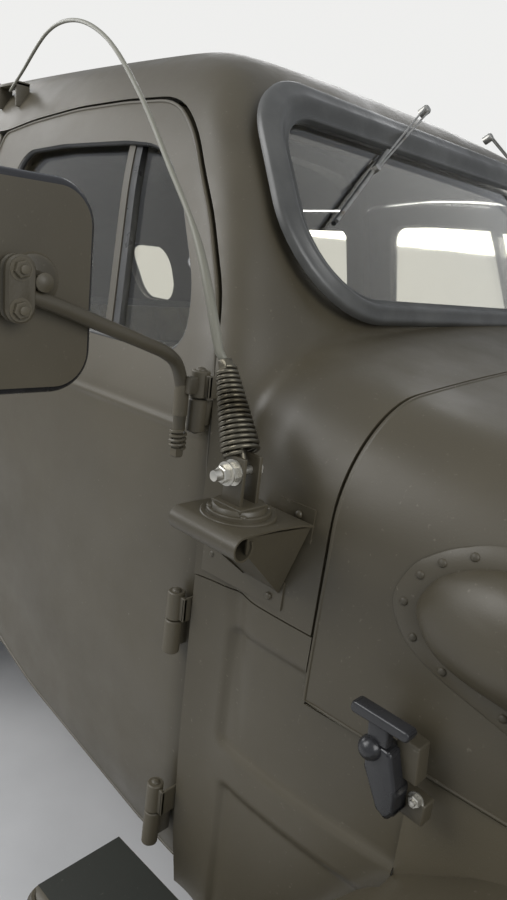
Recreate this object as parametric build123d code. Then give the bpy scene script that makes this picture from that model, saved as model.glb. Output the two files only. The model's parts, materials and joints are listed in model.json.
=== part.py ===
from build123d import *
import os
from math import cos, hypot, radians, sin, tan

# A four-door army 4x4 radio car, in millimetres.
# +X is forward, +Y is left and +Z is up. The origin is on the ground under the middle of the car.

os.makedirs("parts", exist_ok=True)

# Driving sizes of the whole car
LENGTH = 4500
WHEELBASE = 2680
FRONT_AXLE_X = 1570
REAR_AXLE_X = FRONT_AXLE_X - WHEELBASE
TRACK_Y = 790
TYRE_R = 445
TYRE_W = 255
WING_Y = 950
DOOR_GAP = 8
CLEAR = 6

# Cab wall, windscreen and doors
WALL = 40
SCREEN_TILT = 32
SCREEN_X = 894
SCREEN_Z = 1499
# Windscreen outlines on its plane: half width below and above, low and high edge, corner radius below and above
SCREEN_OPENING = (614, 577, 38, 347, 118, 54)
SCREEN_RUBBER = (668, 612, 4, 415, 160, 90)
BELT_Z = 1343
RAIL_Z = 1811
CAB_HALF = 776
DOOR_TOP_Z = 1805
# The roof's edge and the doors' tops drop a little from here back
DOOR_DROP = [(250, 0), (90, 16), (-12, 34), (-640, 53)]
FRONT_DOOR_X = 850
FRONT_DOOR_REAR_X = -12
REAR_DOOR_X = -25
GLASS = 5

# Horizontal rings of the cab: height, front x, rear x, half width, front and rear corner radius, and
# the share of the wall by which the inner ring lies lower
CAB_RINGS = [
    (590, 900, -1880, 735, 60, 200, 0.3),
    (700, 900, -1890, 765, 60, 220, 0),
    (900, 900, -1900, CAB_HALF, 60, 240, 0),
    (BELT_Z, 900, -1870, CAB_HALF, 60, 260, 0),
    (SCREEN_Z, SCREEN_X, -1745, 734, 80, 280, 0),
    (RAIL_Z, 699, -1230, 650, 100, 300, 0.4),
    (1880, 640, -1060, 575, 160, 300, 1),
    (1920, 510, -880, 490, 200, 300, 1),
    (1945, 330, -640, 360, 200, 260, 1),
    (1955, 100, -350, 180, 120, 140, 1),
]

# Upright sections of the cowl, bonnet and nose: x, half width, foot z, shoulder z, bend y and z, corner y and z,
# top z at the middle
COWL_REAR = (800, CAB_HALF, 590, BELT_Z, 766, 1422, 716, 1478, 1525)
COWL_FRONT = (1061, CAB_HALF, 590, 1290, 750, 1378, 676, 1429, 1470)
BONNET_MID = (1400, 730, 640, 1268, 703, 1352, 630, 1402, 1436)
BONNET_FRONT = (1850, 482, 700, 1225, 464, 1300, 402, 1352, 1390)
NOSE_FRONT = (2035, 432, 740, 1190, 416, 1262, 356, 1308, 1340)
BONNET_WALL = 18
BONNET_EDGE_REAR_Z = 1067
BONNET_EDGE_FRONT_Z = 1030
HINGE_ROD_R = 4
HINGE_ROD_UP = 3
BONNET_SPLIT = 6


def x_box(x0, x1, y0, y1, z0, z1):
    """A box between two corners."""
    return Solid.make_box(x1 - x0, y1 - y0, z1 - z0, Plane((x0, y0, z0)))


def prism_xz(points, y0, y1, corner=0):
    """A side outline of x, z points pushed from y0 to y1, with its corners rounded."""
    face = Face(Wire.make_polygon([Vector(x, y0, z) for x, z in points], close=True))
    if corner:
        face = face.fillet_2d(corner, face.vertices())
    return Solid.extrude(face, Vector(0, y1 - y0, 0))


def prism_yz(points, x0, x1):
    """An outline of y, z points pushed from x0 to x1."""
    face = Face(Wire.make_polygon([Vector(x0, y, z) for y, z in points], close=True))
    return Solid.extrude(face, Vector(x1 - x0, 0, 0))


def prism_xy(points, z0, z1):
    """A plan outline of x, y points pushed from z0 to z1."""
    face = Face(Wire.make_polygon([Vector(x, y, z0) for x, y in points], close=True))
    return Solid.extrude(face, Vector(0, 0, z1 - z0))


def rod(start, end, radius):
    """A round bar between two points."""
    a = Vector(*start)
    b = Vector(*end)
    return Solid.make_cylinder(radius, (b - a).length, Plane(origin=a, z_dir=b - a))


def offset_path(points, distance):
    """The open path of x, z points moved to its right-hand side, with mitred corners."""
    normals = []
    for (x0, z0), (x1, z1) in zip(points, points[1:]):
        run = hypot(x1 - x0, z1 - z0)
        normals.append(((z1 - z0) / run, -(x1 - x0) / run))
    moved = []
    for i, (x, z) in enumerate(points):
        a = normals[max(i - 1, 0)]
        b = normals[min(i, len(normals) - 1)]
        mx, mz = a[0] + b[0], a[1] + b[1]
        scale = distance * 2 / (mx * mx + mz * mz)
        moved.append((x + mx * scale, z + mz * scale))
    return moved


def strip(points, thickness, y0, y1):
    """A bent plate that follows a path of x, z points, on its right-hand side."""
    return prism_xz(list(points) + offset_path(points, thickness)[::-1], y0, y1)


def tube(points, bends, radius):
    """A round bar along straight runs joined by tangent arcs."""
    path = FilletPolyline(*points, radius=bends)
    start = Plane(origin=path @ 0, z_dir=path % 0)
    return Solid(sweep(start * Circle(radius), path=path).solid().wrapped)


def turned(profile, centre_y, x, z):
    """A solid of revolution about a cross axis, from radius and y points."""
    face = Face(Wire.make_polygon([Vector(x + r, centre_y + y, z) for r, y in profile], close=True))
    return Solid.revolve(face, 360, Axis((x, 0, z), (0, 1, 0)))


def other_side(shape):
    """The same shape on the other side of the car."""
    return shape.mirror(Plane.XZ)


def both_sides(shapes):
    """Left shapes with their right-hand twins."""
    return list(shapes) + [other_side(s) for s in shapes]


def group(shapes):
    """All solids of one or more shapes, as one shape."""
    shapes = shapes if isinstance(shapes, (list, tuple)) else [shapes]
    solids = [solid for shape in shapes for solid in shape.solids()]
    return solids[0] if len(solids) == 1 else Compound(solids)


def fuse(shapes):
    """All shapes joined."""
    first, *rest = [solid for shape in shapes for solid in shape.solids()]
    return group(first.fuse(*rest)) if rest else first


def cut(shape, tools):
    """A shape less all tools."""
    return group(shape.cut(*tools))


def meet(shape, tool):
    """What two shapes share."""
    return group(shape.intersect(tool))


def write(name, *shapes):
    """One STEP file for one node."""
    out = group(list(shapes))
    out.label = name
    export_step(out, f"parts/{name}.step")


# Cab


def ring(z, front, rear, half, front_r, rear_r):
    """A plan outline with rounded corners, as a closed wire."""
    edges = []
    corners = [
        (front - front_r, half - front_r, front_r, 0),
        (rear + rear_r, half - rear_r, rear_r, 90),
        (rear + rear_r, -half + rear_r, rear_r, 180),
        (front - front_r, -half + front_r, front_r, 270),
    ]

    def on_corner(corner, angle):
        cx, cy, r, start = corner
        a = radians(start + angle)
        return Vector(cx + r * cos(a), cy + r * sin(a), z)

    for i, corner in enumerate(corners):
        after = corners[(i + 1) % 4]
        edges.append(Edge.make_three_point_arc(*[on_corner(corner, a) for a in (0, 45, 90)]))
        edges.append(Edge.make_line(on_corner(corner, 90), on_corner(after, 0)))
    return Wire(edges)


def cab_solid(inset):
    """The cab's volume, inside its outer skin by an inset."""
    rings = []
    for z, front, rear, half, front_r, rear_r, drop in CAB_RINGS:
        front_r = max(front_r - inset, 15)
        rear_r = max(rear_r - inset, 15)
        rings.append(ring(z - drop * inset, front - inset, rear + inset, half - inset, front_r, rear_r))
    return Solid.make_loft(rings, ruled=True)


def section(row, inset=0, foot_drop=0):
    """An upright cowl or bonnet section, as a closed wire."""
    x, half, foot, shoulder, bend_y, bend_z, corner_y, corner_z, top = row
    half, bend_y, corner_y = half - inset, bend_y - inset * 0.8, corner_y - inset * 0.4
    bend_z, corner_z, top = bend_z - inset * 0.6, corner_z - inset * 0.9, top - inset
    foot = foot - foot_drop
    right = [Vector(x, -half, shoulder), Vector(x, -bend_y, bend_z), Vector(x, -corner_y, corner_z)]
    left = [Vector(x, half, shoulder), Vector(x, bend_y, bend_z), Vector(x, corner_y, corner_z)]
    return Wire(
        [
            Edge.make_line(Vector(x, -half, foot), Vector(x, half, foot)),
            Edge.make_line(Vector(x, half, foot), left[0]),
            Edge.make_three_point_arc(*left),
            Edge.make_three_point_arc(left[2], Vector(x, 0, top), right[2]),
            Edge.make_three_point_arc(*right[::-1]),
            Edge.make_line(right[0], Vector(x, -half, foot)),
        ]
    )


def bonnet_solid(rows, inset=0, foot_drop=0):
    """The volume through upright sections."""
    return Solid.make_loft([section(row, inset, foot_drop) for row in rows], ruled=True)


def spine_z(x):
    """Height of the bonnet's middle line."""
    share = (x - COWL_FRONT[0]) / (BONNET_FRONT[0] - COWL_FRONT[0])
    return COWL_FRONT[8] + share * (BONNET_FRONT[8] - COWL_FRONT[8])


def edge_z(x):
    """Height of the bonnet's lower edge."""
    share = (x - COWL_FRONT[0]) / (BONNET_FRONT[0] - COWL_FRONT[0])
    return BONNET_EDGE_REAR_Z + share * (BONNET_EDGE_FRONT_Z - BONNET_EDGE_REAR_Z)


# Side outlines of the doors, as x, z points
FRONT_DOOR = [
    (FRONT_DOOR_X, 605),
    (FRONT_DOOR_X, BELT_Z),
    (789, 1516),
    (721, 1627),
    (622, 1749),
    (544, DOOR_TOP_Z - 2),
    (502, DOOR_TOP_Z),
    (DOOR_DROP[0][0], DOOR_TOP_Z),
    (DOOR_DROP[1][0], DOOR_TOP_Z - DOOR_DROP[1][1]),
    (FRONT_DOOR_REAR_X, DOOR_TOP_Z - DOOR_DROP[2][1]),
    (FRONT_DOOR_REAR_X, 838),
    (210, 735),
    (364, 677),
    (506, 650),
    (720, 611),
]
REAR_DOOR = [
    (REAR_DOOR_X, 842),
    (REAR_DOOR_X, DOOR_TOP_Z - DOOR_DROP[2][1] - 1),
    (-640, DOOR_TOP_Z - DOOR_DROP[3][1]),
    (-690, 1690),
    (-700, BELT_Z),
    (-700, 1012),
    (-618, 930),
    (-596, 890),
    (-300, 880),
]
# Door opening in the cab side: both doors with their gap
DOOR_OPENING = [
    (FRONT_DOOR_X + DOOR_GAP, 500),
    (FRONT_DOOR_X + DOOR_GAP, BELT_Z + 1),
    (797, 1520),
    (728, 1632),
    (628, 1756),
    (548, DOOR_TOP_Z + 7),
    (502, DOOR_TOP_Z + DOOR_GAP),
] + [(x - 1, DOOR_TOP_Z - drop + DOOR_GAP) for x, drop in DOOR_DROP] + [
    (-698, 1692),
    (-700 - DOOR_GAP, BELT_Z),
    (-700 - DOOR_GAP, 500),
]
FRONT_WINDOW = [
    (752, 1430),
    (738, 1523),
    (642, 1665),
    (562, 1732),
    (454, 1741),
    (250, 1741),
    (98, 1731),
    (98, 1430),
]
REAR_WINDOW = [(-92, 1430), (-92, 1712), (-570, 1700), (-606, 1660), (-612, 1430)]
QUARTER_WINDOW = [(-1150, 1325), (-1150, 1585), (-1470, 1585), (-1470, 1325)]
WINDOW_CORNER = 26
QUARTER_CORNER = 62
DIVIDER = [(549, 1425), (577, 1425), (485, 1746), (457, 1746)]
HINGE_Z = [(1349, 1430), (1021, 1116), (685, 794)]
REAR_HINGE_Z = [(1349, 1430), (1021, 1116)]
HINGE_BACK = 14.5
HINGE_LOW = (803, 737)
HINGE_HIGH = (786, 1390)
HINGE_R = 12
PIN_R = 5
PIN_FIT = 0.05
HINGE_LEAF_GAP = 3
POST_GAP = 8
POST_WALL = 38
BACK_GLASS_HALF = 330
BACK_GLASS_Z = (1520, 1680)

# Paths of the wings in side view, as x, z points from the rear forward
FRONT_WING = [
    (735, 585),
    (1000, 600),
    (1060, 690),
    (1200, 900),
    (1330, 990),
    (1830, 990),
    (2060, 820),
    (2100, 740),
]
REAR_WING = [
    (-1690, 760),
    (-1600, 930),
    (-1460, 1030),
    (-760, 1030),
    (-640, 940),
    (-520, 700),
]
WING_PLATE = 6
WING_LIP = 60
HOUSING_Y = 610
SPLASH_Y = 450


def hinge_y(z):
    """Distance of the door hinge line from the middle of the car."""
    (y0, z0), (y1, z1) = HINGE_LOW, HINGE_HIGH
    return y0 + (z - z0) * (y1 - y0) / (z1 - z0)


def wing_block(path, y0, y1, floor_z=560):
    """Everything under a wing's path."""
    first, last = path[0], path[-1]
    return prism_xz([(first[0], floor_z)] + list(path) + [(last[0], floor_z)], y0, y1)


OUTER = cab_solid(0)
INNER = cab_solid(WALL)
COWL = bonnet_solid([COWL_REAR, COWL_FRONT])
cowl_inner_front = (COWL_FRONT[0] - 20,) + COWL_FRONT[1:]
COWL_INNER = bonnet_solid([COWL_REAR, cowl_inner_front], WALL, 10)
TURN_UNDER = [(CAB_HALF + 30, 580), (735, 590), (765, 700), (CAB_HALF, 900), (CAB_HALF + 30, 900)]


def screen_prism(outline, depth0, depth1):
    """A rounded outline on the windscreen's plane, pushed through it."""
    half_low, half_high, v0, v1, low_corner, high_corner = outline
    t = radians(SCREEN_TILT)
    up = Vector(-sin(t), 0, cos(t))
    out = Vector(cos(t), 0, sin(t))
    origin = Vector(SCREEN_X, 0, SCREEN_Z)

    def at(y, v):
        return origin + up * v + Vector(0, y, 0) + out * depth0

    corners = [at(-half_low, v0), at(half_low, v0), at(half_high, v1), at(-half_high, v1)]
    face = Face(Wire.make_polygon(corners, close=True))
    face = face.fillet_2d(low_corner, face.vertices().sort_by(Axis.Z)[:2])
    face = face.fillet_2d(high_corner, face.vertices().sort_by(Axis.Z)[-2:])
    return Solid.extrude(face, out * (depth1 - depth0))


def body_shell():
    """The cab's outer panels with its pillars, cowl and tail."""
    outer = fuse([OUTER, COWL])
    outer = cut(outer, both_sides([prism_yz(TURN_UNDER, 850, 1100)]))
    shell = cut(outer, [INNER, COWL_INNER])
    cuts = [prism_xz(DOOR_OPENING, 560, 900)]
    cuts.append(prism_xz(QUARTER_WINDOW, 560, 900, QUARTER_CORNER))
    cuts.append(wing_block(REAR_WING, HOUSING_Y, 1000, 500))
    cuts.append(x_box(-2000, REAR_WING[0][0] + 1, HOUSING_Y, 1000, 500, REAR_WING[0][1]))
    tools = both_sides(cuts)
    tools.append(x_box(-2000, -1700, -900, 900, 500, REAR_WING[0][1]))
    tools.append(x_box(-2000, -1200, -BACK_GLASS_HALF, BACK_GLASS_HALF, *BACK_GLASS_Z))
    tools.append(screen_prism(SCREEN_OPENING, -120, 60))
    shell = cut(shell, tools)
    deep = cab_solid(WALL + POST_GAP + POST_WALL)
    post = cut(cab_solid(WALL + POST_GAP), [deep])
    post = meet(post, x_box(-60, 20, -900, 900, 616, RAIL_Z + 12))
    head = cut(cab_solid(WALL - 10), [deep])
    head = meet(head, x_box(-60, 20, -760, 760, RAIL_Z + 6, RAIL_Z + 90))
    side = prism_xy([(1055, CAB_HALF), (1205, 757), (1205, 733), (1055, CAB_HALF - 24)], 600, 1200)
    under_bonnet = [(1055, 600), (1055, edge_z(1055) - CLEAR), (1205, edge_z(1205) - CLEAR), (1205, 600)]
    side = meet(side, prism_xz(under_bonnet, 700, 800))
    side = cut(side, [wing_block([(x, z + 1) for x, z in FRONT_WING], 700, 1000)])
    return fuse([shell, post, head, side, other_side(side)])


SHELL = body_shell()


# Doors


def hinge_point(x, z, side):
    """A point on a door's leaning hinge line."""
    return (x, side * hinge_y(z), z)


def hinge_halves(edge_x, heights, leaf_width, leaf_y, side):
    """Each hinge's lower half on the door and upper half on the pillar, with the pin on the door."""
    x = edge_x - HINGE_BACK
    on_door = []
    on_body = []
    for low, high in heights:
        middle = low + 0.55 * (high - low)
        lower = rod(hinge_point(x, low, side), hinge_point(x, middle - 1, side), HINGE_R)
        upper = rod(hinge_point(x, middle + 1, side), hinge_point(x, high, side), HINGE_R)
        pin = rod(hinge_point(x, low, side), hinge_point(x, high - 8, side), PIN_R)
        bore = rod(hinge_point(x, low, side), hinge_point(x, high - 6, side), PIN_R + PIN_FIT)
        y = hinge_y(middle)
        leaf_x = edge_x + HINGE_LEAF_GAP
        door_leaf = x_box(x - 30, x, y - 30, y - 9, low + 4, middle - 5)
        body_leaf = x_box(leaf_x, leaf_x + leaf_width, leaf_y, y, middle + 5, high - 4)
        bridge = x_box(x, leaf_x + leaf_width, y - 3, y + 3, middle + 5, high - 4)
        if side < 0:
            door_leaf, body_leaf, bridge = [other_side(s) for s in (door_leaf, body_leaf, bridge)]
        on_door.append(fuse([lower, pin, cut(door_leaf, [bore])]))
        on_body.append(cut(fuse([upper, body_leaf, bridge]), [bore]))
    return on_door, on_body


DOOR_LAYER = cut(fuse([OUTER, COWL]), [INNER, COWL_INNER])
GLASS_DEPTH = 16
GLASS_LAYER = cut(cab_solid(GLASS_DEPTH), [cab_solid(GLASS_DEPTH + GLASS)])
BAR_LAYER = cut(cab_solid(6), [cab_solid(30)])


def door(outline, window, divider=None):
    """A left-hand door's skin and glass, cut out of the cab's wall."""
    skin = meet(DOOR_LAYER, prism_xz(outline, 560, 900))
    opening = prism_xz(window, 560, 900, WINDOW_CORNER)
    skin = cut(skin, [opening])
    glass = meet(GLASS_LAYER, opening)
    if divider:
        bar = meet(meet(BAR_LAYER, prism_xz(divider, 560, 900)), opening)
        glass = cut(glass, [bar])
        skin = fuse([skin, bar])
    return skin, glass


# Which door, its side outline, window and window bar, front edge x, hinge heights, and the width and inner y
# of the leaf on the pillar
DOORS = [
    ("front", FRONT_DOOR, FRONT_WINDOW, DIVIDER, FRONT_DOOR_X, HINGE_Z, DOOR_GAP, 745),
    ("rear", REAR_DOOR, REAR_WINDOW, None, REAR_DOOR_X, REAR_HINGE_Z, 4, 700),
]


def write_doors():
    """The four doors with their glass, and the cab with the hinge halves on its pillars."""
    on_pillars = []
    for place, outline, window, divider, edge_x, heights, leaf_width, leaf_y in DOORS:
        skin, glass = door(outline, window, divider)
        for hand, side in (("left", 1), ("right", -1)):
            on_door, on_body = hinge_halves(edge_x, heights, leaf_width, leaf_y, side)
            panel = skin if side > 0 else other_side(skin)
            write(f"door_{place}_{hand}", fuse([panel] + on_door))
            write(f"door_glass_{place}_{hand}", glass if side > 0 else other_side(glass))
            on_pillars += on_body
    write("body_shell", fuse([SHELL] + on_pillars))


write_doors()

# Windscreen and fixed glass


def write_glass():
    """The windscreen with its rubber, and the glass that doesn't move."""
    outer = screen_prism(SCREEN_RUBBER, -16, 14)
    inner = screen_prism(SCREEN_OPENING, -40, 60)
    shell_side = screen_prism((900, 900, -200, 700, 10, 10), -60, 0)
    rubber = cut(outer, [inner, shell_side, SHELL])
    write("windscreen_rubber", rubber)
    write("windscreen_glass", screen_prism(SCREEN_OPENING, -14, -8))
    quarter = meet(GLASS_LAYER, prism_xz(QUARTER_WINDOW, 560, 900, QUARTER_CORNER))
    back = meet(GLASS_LAYER, x_box(-2000, -1200, -BACK_GLASS_HALF, BACK_GLASS_HALF, *BACK_GLASS_Z))
    write("fixed_glass", quarter, other_side(quarter), back)


write_glass()

# Bonnet, nose and grille

NOSE_WALL = 20
GRILLE_HALF = 320
GRILLE_Z = (800, 1235)
GRILLE_BARS = 13
GRILLE_BAR = 12


# Side blister of a bonnet half: x, low z, high z and height over the skin
BLISTER = [
    (1158, 1212, 1266, 5),
    (1186, 1190, 1298, 22),
    (1240, 1168, 1320, 38),
    (1320, 1142, 1330, 46),
    (1400, 1122, 1330, 48),
    (1500, 1124, 1312, 42),
    (1580, 1156, 1284, 24),
    (1612, 1194, 1254, 5),
]
BLISTER_ROOT = 16
# Latch in side view, with the y range of each of its parts
LATCH_GRIP = [(1160, 1126), (1232, 1129), (1232, 1141), (1160, 1140)]
LATCH_GRIP_Y = (790, 814)
LATCH_BODY = [(1180, 1130), (1206, 1130), (1226, 1066), (1190, 1066)]
LATCH_BODY_Y = (784, 808)
LATCH_KEEPER = [(1206, 1116), (1236, 1116), (1236, 1072), (1206, 1072)]
LATCH_KEEPER_Y = (742, 792)


def bonnet_half_y(x):
    """Half width of the bonnet."""
    rows = [COWL_FRONT, BONNET_MID, BONNET_FRONT]
    low, high = rows[:2] if x <= BONNET_MID[0] else rows[1:]
    return low[1] + (x - low[0]) / (high[0] - low[0]) * (high[1] - low[1])


def blister():
    """A left-hand blister, as a loft of arched upright sections."""
    rings = []
    for x, low, high, lift in BLISTER:
        skin = bonnet_half_y(x)
        foot, top = Vector(x, skin - BLISTER_ROOT, low), Vector(x, skin - BLISTER_ROOT, high)
        crown = Vector(x, skin + lift, (low + high) / 2)
        rings.append(Wire([Edge.make_line(foot, top), Edge.make_three_point_arc(top, crown, foot)]))
    return Solid.make_loft(rings, ruled=True)


def latch():
    """A left-hand bonnet latch: handle bar, body and the keeper that carries them."""
    grip = prism_xz(LATCH_GRIP, *LATCH_GRIP_Y)
    body = prism_xz(LATCH_BODY, *LATCH_BODY_Y)
    return fuse([grip, body, prism_xz(LATCH_KEEPER, *LATCH_KEEPER_Y)])


def write_bonnet():
    """The two bonnet halves, the rod that they hinge on, and the nose with its grille."""
    rows = [COWL_FRONT, BONNET_MID, BONNET_FRONT]
    shell = cut(bonnet_solid(rows), [bonnet_solid(rows, BONNET_WALL, 10)])
    rear, front = COWL_FRONT[0] + CLEAR, BONNET_FRONT[0] - CLEAR
    keep = [(rear, edge_z(rear)), (rear, 1600), (front, 1600), (front, edge_z(front))]
    half = meet(shell, prism_xz(keep, BONNET_SPLIT, 900))
    half = fuse([half, blister(), latch()])
    write("bonnet_left", half)
    write("bonnet_right", other_side(half))
    rear_top = (COWL_FRONT[0] - 12, 0, spine_z(COWL_FRONT[0] - 12) + HINGE_ROD_UP)
    front_top = (BONNET_FRONT[0] + 12, 0, spine_z(BONNET_FRONT[0] + 12) + HINGE_ROD_UP)
    write("bonnet_hinge_rod", cut(rod(rear_top, front_top, HINGE_ROD_R), [SHELL, NOSE]))


def nose():
    """The fixed nose behind the radiator grille."""
    outer = bonnet_solid([BONNET_FRONT, NOSE_FRONT])
    back = (BONNET_FRONT[0] - 10,) + BONNET_FRONT[1:]
    front = (NOSE_FRONT[0] - NOSE_WALL,) + NOSE_FRONT[1:]
    shell = cut(outer, [bonnet_solid([back, front], NOSE_WALL, -NOSE_WALL)])
    shell = cut(shell, [x_box(1990, 2100, -GRILLE_HALF, GRILLE_HALF, *GRILLE_Z)])
    pitch = 2 * GRILLE_HALF / GRILLE_BARS
    bars = []
    for i in range(1, GRILLE_BARS):
        y = -GRILLE_HALF + i * pitch
        bars.append(x_box(2018, 2033, y - GRILLE_BAR / 2, y + GRILLE_BAR / 2, GRILLE_Z[0] - 5, GRILLE_Z[1] + 5))
    return fuse([shell] + bars)


NOSE = nose()
write("nose", NOSE)
write_bonnet()

# Wings, floor and frame

BONNET_SIDE = [(1213, 755), (1400, 730), (1846, 483)]


def front_wing():
    """A left front wing: top plate, outer lip, side wall under the bonnet and inner splash wall."""
    plate = strip(FRONT_WING, WING_PLATE, SPLASH_Y, WING_Y)
    plate = cut(plate, [x_box(600, 1213, 0, CAB_HALF + 1, 500, 1200), x_box(1840, 2200, 0, 490, 500, 1200)])
    lip = strip(FRONT_WING, WING_LIP, WING_Y - WING_PLATE, WING_Y)
    back = [(x, y - 20) for x, y in BONNET_SIDE[::-1]]
    wall = prism_xy(BONNET_SIDE + back, 560, 1200)
    top = [(1213, 500), (1213, edge_z(1213) - CLEAR), (1846, edge_z(1846) - CLEAR), (1846, 500)]
    wall = meet(wall, prism_xz(top, 400, 900))
    wall = cut(wall, [wing_block(offset_path(FRONT_WING, WING_PLATE / 2), 400, 1000, 300)])
    splash = wing_block(offset_path(FRONT_WING, WING_PLATE / 2), SPLASH_Y, SPLASH_Y + WING_PLATE, 500)
    splash = meet(splash, x_box(1220, 1838, 400, 500, 700, 1200))
    return fuse([plate, lip, wall, splash])


def rear_wing():
    """A left rear wing with its wheel housing in the cab."""
    plate = strip(REAR_WING, WING_PLATE, HOUSING_Y, WING_Y)
    lip = strip(REAR_WING, WING_LIP, WING_Y - WING_PLATE, WING_Y)
    side = wing_block(REAR_WING, HOUSING_Y, HOUSING_Y + WING_PLATE, 690)
    return fuse([plate, lip, side])


def write_wings():
    """Front and rear wings, both sides."""
    front = front_wing()
    rear = rear_wing()
    write("front_wings", front, other_side(front))
    write("rear_wings", rear, other_side(rear))


write_wings()

FLOOR_Z = 600
FLOOR_T = 15
REAR_FLOOR_Z = 770
TUB_HALF = CAB_HALF - 90
FLOOR_FRONT_X = 1035
TUB_WALL = 8
SILL_UP = 25
SILL = [(850, 605), (720, 611), (506, 650), (364, 677), (210, 735), (-15, 838), (-300, 880), (-512, 886)]


def floor_pan():
    """The floor pan with its side sills, the step up behind the rear seat and the load floor."""
    front_floor = x_box(-512, FLOOR_FRONT_X, -TUB_HALF, TUB_HALF, FLOOR_Z, FLOOR_Z + FLOOR_T)
    middle = x_box(-700, -512, -HOUSING_Y + 2, HOUSING_Y - 2, FLOOR_Z, FLOOR_Z + FLOOR_T)
    riser = x_box(-700, -690, -HOUSING_Y + 2, HOUSING_Y - 2, FLOOR_Z, REAR_FLOOR_Z + FLOOR_T)
    rear_floor = x_box(REAR_WING[0][0], -700, -HOUSING_Y + 2, HOUSING_Y - 2, REAR_FLOOR_Z, REAR_FLOOR_Z + FLOOR_T)
    outline = [(-512, FLOOR_Z), (850, FLOOR_Z)] + [(x, z + SILL_UP) for x, z in SILL]
    wall = prism_xz(outline, TUB_HALF - TUB_WALL, TUB_HALF)
    closing = x_box(-520, -512, HOUSING_Y - 10, TUB_HALF, FLOOR_Z, 886 + SILL_UP)
    closing = cut(closing, [wing_block([(x + 4, z + 4) for x, z in REAR_WING], 500, 1000, 500)])
    strip_up = x_box(-700, -512, HOUSING_Y - 10, HOUSING_Y - 2, FLOOR_Z, 700)
    pan = fuse([front_floor, middle, riser, rear_floor] + both_sides([wall, closing, strip_up]))
    return cut(pan, [SHELL])


FLOOR = floor_pan()
write("floor_pan", FLOOR)

RAIL_Y = (330, 390)
RAIL_HIGH = 110
FRAME_FRONT_X = LENGTH / 2 - 100
FRAME_REAR_X = 350 - LENGTH / 2
RAIL_PATH = [
    (FRAME_REAR_X, 690),
    (REAR_AXLE_X - 390, 690),
    (REAR_AXLE_X - 240, 755),
    (REAR_AXLE_X + 250, 755),
    (REAR_AXLE_X + 430, 575),
    (FRONT_AXLE_X - 490, 575),
    (FRONT_AXLE_X - 330, 695),
    (FRONT_AXLE_X + 330, 695),
    (FRAME_FRONT_X, 680),
]
CROSSMEMBERS = [
    (FRAME_REAR_X + 20, 585),
    (REAR_AXLE_X - 210, 650),
    (-420, 470),
    (300, 470),
    (1020, 470),
    (FRAME_FRONT_X - 160, 590),
]
CROSS_W = 60
CROSS_H = 70
BUMPER_Z = (560, 680)
BUMPER_T = 6
FRONT_BUMPER_HALF = 820
REAR_BUMPER_HALF = 780


def frame():
    """Two side rails that arch over the axles, with cross members."""
    rails = both_sides([strip(RAIL_PATH, RAIL_HIGH, *RAIL_Y)])
    cross = [x_box(x, x + CROSS_W, -RAIL_Y[0] - 5, RAIL_Y[0] + 5, z, z + CROSS_H) for x, z in CROSSMEMBERS]
    return fuse(rails + cross)


FRAME = frame()
write("chassis_frame", FRAME)


def bumper(face_x, inward, half, bar_z, carrier_x):
    """A channel-section bumper beam with two carriers back to the frame."""
    z0, z1 = bar_z
    depth = 55
    back_x = face_x + inward * depth
    x0, x1 = sorted((face_x, back_x))
    beam = x_box(x0, x1, -half, half, z0, z1)
    i0, i1 = sorted((face_x + inward * BUMPER_T, back_x + inward * 10))
    beam = cut(beam, [x_box(i0, i1, -half - 5, half + 5, z0 + BUMPER_T, z1 - BUMPER_T)])
    c0, c1 = sorted((face_x + inward * (BUMPER_T - 1), carrier_x))
    carriers = both_sides([x_box(c0, c1, RAIL_Y[0] + 10, RAIL_Y[1] - 10, z0 + 20, z1 - 20)])
    return fuse([beam] + carriers)


HITCH_SPACING = (140, 60)
HITCH_HOLE_R = 7


def write_bumpers():
    """The front and rear bumpers, with a hole pattern in the middle of each face."""
    holes = []
    for dy in (-HITCH_SPACING[0] / 2, HITCH_SPACING[0] / 2):
        for dz in (-HITCH_SPACING[1] / 2, HITCH_SPACING[1] / 2):
            z = sum(BUMPER_Z) / 2 + dz
            holes.append(rod((LENGTH / 2 - 20, dy, z), (LENGTH / 2 + 5, dy, z), HITCH_HOLE_R))
            holes.append(rod((-LENGTH / 2 - 5, dy, z), (-LENGTH / 2 + 20, dy, z), HITCH_HOLE_R))
    write("front_bumper", cut(bumper(LENGTH / 2, -1, FRONT_BUMPER_HALF, BUMPER_Z, FRAME_FRONT_X + 1), holes))
    write("rear_bumper", cut(bumper(-LENGTH / 2, 1, REAR_BUMPER_HALF, BUMPER_Z, FRAME_REAR_X - 1), holes))


write_bumpers()

# Axles, springs, steering knuckles and wheels

AXLE_R = 38
AXLE_Z = TYRE_R
DIFF_R = 150
FRONT_DIFF_Y = 150
KINGPIN_Y = 665
BALL_R = 45
CUP_IN_R = 51
CUP_OUT_R = 68
CUP_EDGE = -8
KINGPIN_R = 12
SPINDLE_R = 24
SPINDLE_FIT = 0.05
SPINDLE_END_Y = 838
BACKPLATE_R = 142
BACKPLATE_Y = (718, 724)
DRUM_R = (150, 160)
DRUM_Y = (714, 796)
HUB_R = 52
HUB_Y = (745, 832)
RIM_SEAT_R = 203
RIM_IN_R = 190
RIM_FLANGE_R = 217
RIM_HALF = 90
RIM_LIP = 7
DISC_T = 10
STEER_ARM = 165


# Tyre rings from one bead to the middle of the tread, as radius and half width, and its tread bars
TYRE_SIDES = 19
TREAD_R = 431
TYRE_RINGS = [
    (RIM_FLANGE_R + 3, RIM_HALF - RIM_LIP),
    (300, TYRE_W / 2 - 4),
    (395, TYRE_W / 2),
    (TREAD_R, 95),
]
BAR_W = 46
BAR_OUTLINE = [(8, 415), (8, TYRE_R), (92, TYRE_R), (112, 400)]


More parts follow.
